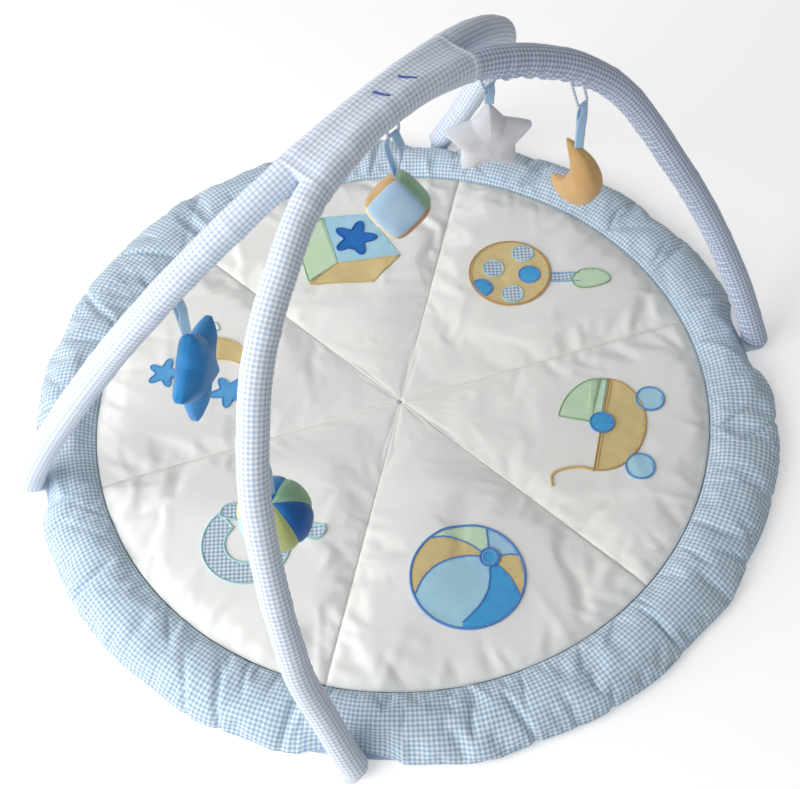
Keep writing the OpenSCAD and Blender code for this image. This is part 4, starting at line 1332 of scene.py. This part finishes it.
class Motif:
    """A sewn picture on one wedge, drawn with x out from the middle of the mat and y across the wedge, in mm"""

    def __init__(self, name, wedge, slot):
        self.name = name
        self.slot = slot
        self.turn = Matrix.Rotation(wedge * WEDGE, 4, "Z")
        self.bm = bmesh.new()
        self.bm.loops.layers.uv.new("UVMap")
        self.materials = []

    def take(self, bm, material):
        if material not in self.materials:
            self.materials.append(material)
        for face in bm.faces:
            face.material_index = self.materials.index(material)
        mesh = bpy.data.meshes.new("part")
        bm.to_mesh(mesh)
        bm.free()
        self.bm.from_mesh(mesh)
        bpy.data.meshes.remove(mesh)

    def laid(self, flat, lift):
        """Point on the quilt under a flat place, raised by lift"""
        place = self.turn @ flat
        hit = SURFACE.ray_cast(Vector((place.x, place.y, 0.1)), Vector((0, 0, -1)))[0]
        return Vector((place.x, place.y, hit.z + lift * MM + PICTURE_LIFT))

    def patch(self, outline, material, lift=0.5):
        """Felt or cloth laid on the quilt: a flat face, cut into small squares so that it follows the surface"""
        bm = bmesh.new()
        face = bm.faces.new([bm.verts.new((x * MM, y * MM, 0)) for x, y in outline])
        bmesh.ops.triangulate(bm, faces=[face])
        for axis, across in enumerate((Vector((1, 0, 0)), Vector((0, 1, 0)))):
            low, high = (pick(v.co[axis] for v in bm.verts) for pick in (min, max))
            count = int((high - low) / PICTURE_CUT)
            for k in range(1, count):
                cut = across * (low + (high - low) * k / count)
                geom = bm.verts[:] + bm.edges[:] + bm.faces[:]
                bmesh.ops.bisect_plane(bm, geom=geom, plane_co=cut, plane_no=across)
        uv = bm.loops.layers.uv.new("UVMap")
        for face in bm.faces:
            for loop in face.loops:
                loop[uv].uv = loop.vert.co.xy
        for v in bm.verts:
            v.co = self.laid(v.co, lift)
        face_up(bm)
        skirt, _ = extrude(bm, boundary(bm))
        bmesh.ops.translate(bm, verts=skirt, vec=(0, 0, -(lift + 1.0) * MM))
        face_out(bm)
        self.take(bm, material)

    def stitch(self, line, material, r=1.2, closed=True, lift=0.5):
        """Raised satin stitch along a line"""
        points = list(line) + ([line[0]] if closed else [])
        path = []
        for (x, y), (next_x, next_y) in zip(points, points[1:]):
            parts = max(1, round(math.dist((x, y), (next_x, next_y)) / STITCH_STEP))
            path += [(x + (next_x - x) * k / parts, y + (next_y - y) * k / parts) for k in range(parts)]
        path.append(points[-1])
        laid = [self.laid(Vector((x * MM, y * MM, 0)), lift) for x, y in path]
        self.take(tube(laid, r * MM, sides=6), material)

    def applied(self, outline, material, thread, r=1.2, lift=0.5):
        self.patch(outline, material, lift)
        self.stitch(outline, thread, r, lift=lift)

    def sew(self):
        new_piece(self.name + "_felt", self.bm, self.materials, "mat", self.name, slot=self.slot)


def rattle():
    motif = Motif("motif_rattle", 0, "tan_felt")
    x, y, r = 235, 24, 52
    motif.patch([(264, -10), (293, -43), (283, -52), (253, -19)], MOTIF_CLOTH)
    for side in (((264, -10), (293, -43)), ((253, -19), (283, -52))):
        motif.stitch(side, LIGHT_STITCH, r=0.9, closed=False)
    grip = curved(
        (280, -42), (297, -42), (311, -54), (316, -70), (309, -80), (292, -74), (277, -62), (274, -51), (280, -42)
    )
    motif.applied(grip, GREEN_FELT, GREEN_STITCH, r=0.9, lift=0.7)
    motif.patch(arc(x, y, r), TAN_FELT, lift=0.8)
    checked = (MOTIF_CLOTH, AQUA_STITCH)
    plain = (BLUE_FELT, BLUE_STITCH)
    spots = ((271, 32, checked), (227, 45, checked), (211, -1, checked), (249, 3, plain), (193, 35, plain))
    for spot_x, spot_y, (cloth, thread) in spots:
        spot = []
        for u, v in arc(spot_x, spot_y, 13.5):
            inside = min(1, (r - 1) / math.dist((u, v), (x, y)))
            spot.append((x + (u - x) * inside, y + (v - y) * inside))
        motif.patch(spot, cloth, lift=1.3)
        motif.stitch(spot, thread, r=1.0, lift=1.1)
    motif.stitch(arc(x, y, r - 2.2), CREAM_STITCH, r=1.0, lift=0.9)
    motif.stitch(arc(x, y, r), TAN_STITCH, r=1.2, lift=0.8)
    motif.sew()


def block():
    motif = Motif("motif_block", 1, "green_felt")
    motif.applied([(309, 12), (295, -47), (214, -66), (229, 14)], LIGHT_FELT, AQUA_STITCH, r=0.9)
    motif.applied([(309, 12), (229, 14), (211, 58), (289, 56)], GREEN_FELT, GREEN_STITCH, r=0.9)
    motif.applied([(229, 14), (214, -66), (184, -22), (207, 59)], TAN_FELT, CREAM_STITCH, r=0.9)
    motif.applied(star_outline(261, -19, 29, 40), DEEP_FELT, DEEP_STITCH, lift=1.3)
    motif.sew()


def moon_and_stars():
    motif = Motif("motif_moon", 2, "blue_felt")
    back = curved((272, 2), (262, -24), (251, -40), (238, -45), (222, -42), (208, -33), (192, -17), (180, 6))
    front = curved((180, 6), (192, -4), (206, -11), (222, -15), (240, -12), (258, -6), (272, 2))
    motif.applied(back + front[1:-1], TAN_FELT, CREAM_STITCH, r=1.0)
    loop = curved((247, -44), (253, -52), (248, -58), (256, -66), (259, -60), (254, -54))
    motif.stitch(loop, AQUA_STITCH, r=1.0, closed=False)
    for x, y, r, turn in ((296, 21, 21.5, 50), (209, 32, 24, 26)):
        motif.applied(star_outline(x, y, r, turn), STAR_FELT, STAR_STITCH, r=1.0)
    motif.sew()


def dummy():
    motif = Motif("motif_dummy", 3, "border_gingham")
    x, y, outer, inner, start, half = 263, 2, 51, 25, 262, 134
    for turn in (start, start + half):
        motif.patch(arc(x, y, outer, turn, half) + arc(x, y, inner, turn + half, -half), MOTIF_CLOTH)
    ring = arc(x, y, outer, start, 2 * half) + arc(x, y, inner, start + 2 * half, -2 * half)
    motif.stitch(ring, AQUA_STITCH, r=1.2)
    guard = arc(248, -38, 13, 152, 180) + arc(199, 48, 13, -28, 180)
    motif.applied(guard, MOTIF_CLOTH, AQUA_STITCH, r=1.2, lift=1.0)
    motif.sew()


def beach_ball():
    motif = Motif("motif_ball", 4, "blue_felt")
    x, y, r = 253, -1, 64
    hub = (239, 30)
    seams = [
        curved(hub, (227, 33), (203, 39)),
        curved(hub, (242, 51), (247, 62)),
        curved(hub, (268, 43), (294, 46)),
        curved(hub, (271, 18), (290, 1), (305, -25)),
        curved(hub, (228, 3), (229, -27), (239, -48), (255, -63)),
        curved(hub, (211, 10), (199, -8), (195, -25)),
    ]
    felts = (SKY_FELT, TAN_FELT, BLUE_FELT, LIGHT_FELT, TAN_FELT, GREEN_FELT)
    for seam, following, felt in zip(seams, seams[1:] + seams[:1], felts):
        first, last = (math.degrees(math.atan2(line[-1][1] - y, line[-1][0] - x)) for line in (seam, following))
        rim = arc(x, y, r, first, -((first - last) % 360))
        motif.patch(seam[:-1] + rim + following[-2:0:-1], felt)
    for seam in seams:
        motif.stitch(seam, BLUE_STITCH, r=1.0, closed=False)
    motif.stitch(arc(x, y, r), BLUE_STITCH, r=1.5)
    motif.applied(arc(*hub, 11), BLUE_FELT, BLUE_STITCH, r=1.1, lift=1.9)
    motif.stitch(arc(*hub, 8), LIGHT_STITCH, r=0.8, lift=2.1)
    motif.sew()


def pram():
    motif = Motif("motif_pram", 5, "tan_felt")
    x, y, wide, tall = 244, 10, 52, 66
    motif.applied(oval(x, y, -wide, tall, 11) + [(x, y)], GREEN_FELT, GREEN_STITCH, r=0.9)
    fold = [(x - 20, y + 12), (x - 12, y + 10), (x - 9, y + tall - 3), (x - 21, y + tall - 7)]
    motif.patch(fold, FOLD_FELT, lift=0.9)
    motif.stitch([(x - 3, y + 8), (x - 3, y + tall - 2)], AQUA_STITCH, r=1.2, closed=False)
    motif.applied(oval(x, y, wide, tall, 21), TAN_FELT, TAN_STITCH, r=1.1)
    motif.stitch([(x + 3, y - tall + 3), (x + 3, y + tall - 3)], CREAM_STITCH, r=0.8, closed=False, lift=0.8)
    for wheel_y in (y + 46, y - 51):
        motif.applied(arc(296, wheel_y, 16.5), LIGHT_FELT, STAR_STITCH, r=1.2, lift=1.0)
    motif.applied(arc(x, y, 14), BLUE_FELT, BLUE_STITCH, r=1.0, lift=2.4)
    handle = curved((244, -56), (226, -56), (207, -63), (197, -73), (200, -87))
    motif.stitch(handle, CREAM_STITCH, r=2.0, closed=False, lift=0.2)
    motif.sew()


for draw in (rattle, block, moon_and_stars, dummy, beach_ball, pram):
    draw()


# Stage


def light(name, place, size, power):
    data = bpy.data.lights.new(name, "AREA")
    data.shape = "DISK"
    data.size = size
    data.energy = power
    lamp = bpy.data.objects.new(name, data)
    lamp.location = place
    lamp.rotation_mode = "QUATERNION"
    lamp.rotation_quaternion = (-Vector(place)).to_track_quat("-Z", "Y")
    bpy.context.scene.collection.objects.link(lamp)


def seen(tree):
    """1 for rays that the camera sees, straight or by way of a gloss"""
    path = node(tree, "LightPath").outputs
    other = maths(tree, "MAXIMUM", path["Is Glossy Ray"], path["Is Transmission Ray"])
    return maths(tree, "MAXIMUM", path["Is Camera Ray"], other)


def floor():
    bm = bmesh.new()
    bmesh.ops.create_grid(bm, x_segments=1, y_segments=1, size=6)
    mesh = bpy.data.meshes.new("floor")
    bm.to_mesh(mesh)
    bm.free()
    piece = bpy.data.objects.new("floor", mesh)
    material, tree, shader = new_material("floor", 0.9, specular=0.0)
    shader["Base Color"].default_value = srgb(250, 250, 250)
    shader["Emission Color"].default_value = (1, 1, 1, 1)
    join(tree, shader["Emission Strength"], maths(tree, "MULTIPLY", seen(tree), 0.28))
    mesh.materials.append(material)
    bpy.context.scene.collection.objects.link(piece)


def world():
    """White to the camera, and a soft light that is stronger from one side"""
    made = bpy.data.worlds.new("studio")
    bpy.context.scene.world = made
    made.use_nodes = True
    tree = made.node_tree
    background = tree.nodes["Background"].inputs
    background["Color"].default_value = (1, 1, 1, 1)
    way = node(tree, "TexCoord").outputs["Generated"]
    bright_side = tuple(Vector((-0.86, 0.38, 0.34)).normalized())
    toward = node(tree, "VectorMath", way, bright_side, operation="DOT_PRODUCT").outputs["Value"]
    soft = maths(tree, "ADD", maths(tree, "MULTIPLY", toward, 0.34), 0.38)
    join(tree, background["Strength"], node(tree, "MapRange", seen(tree), 0.0, 1.0, soft, 1.0).outputs[0])


floor()
world()
light("key", (-2.1, 0.85, 1.35), 2.3, 55)
bpy.context.scene.view_settings.view_transform = "Standard"
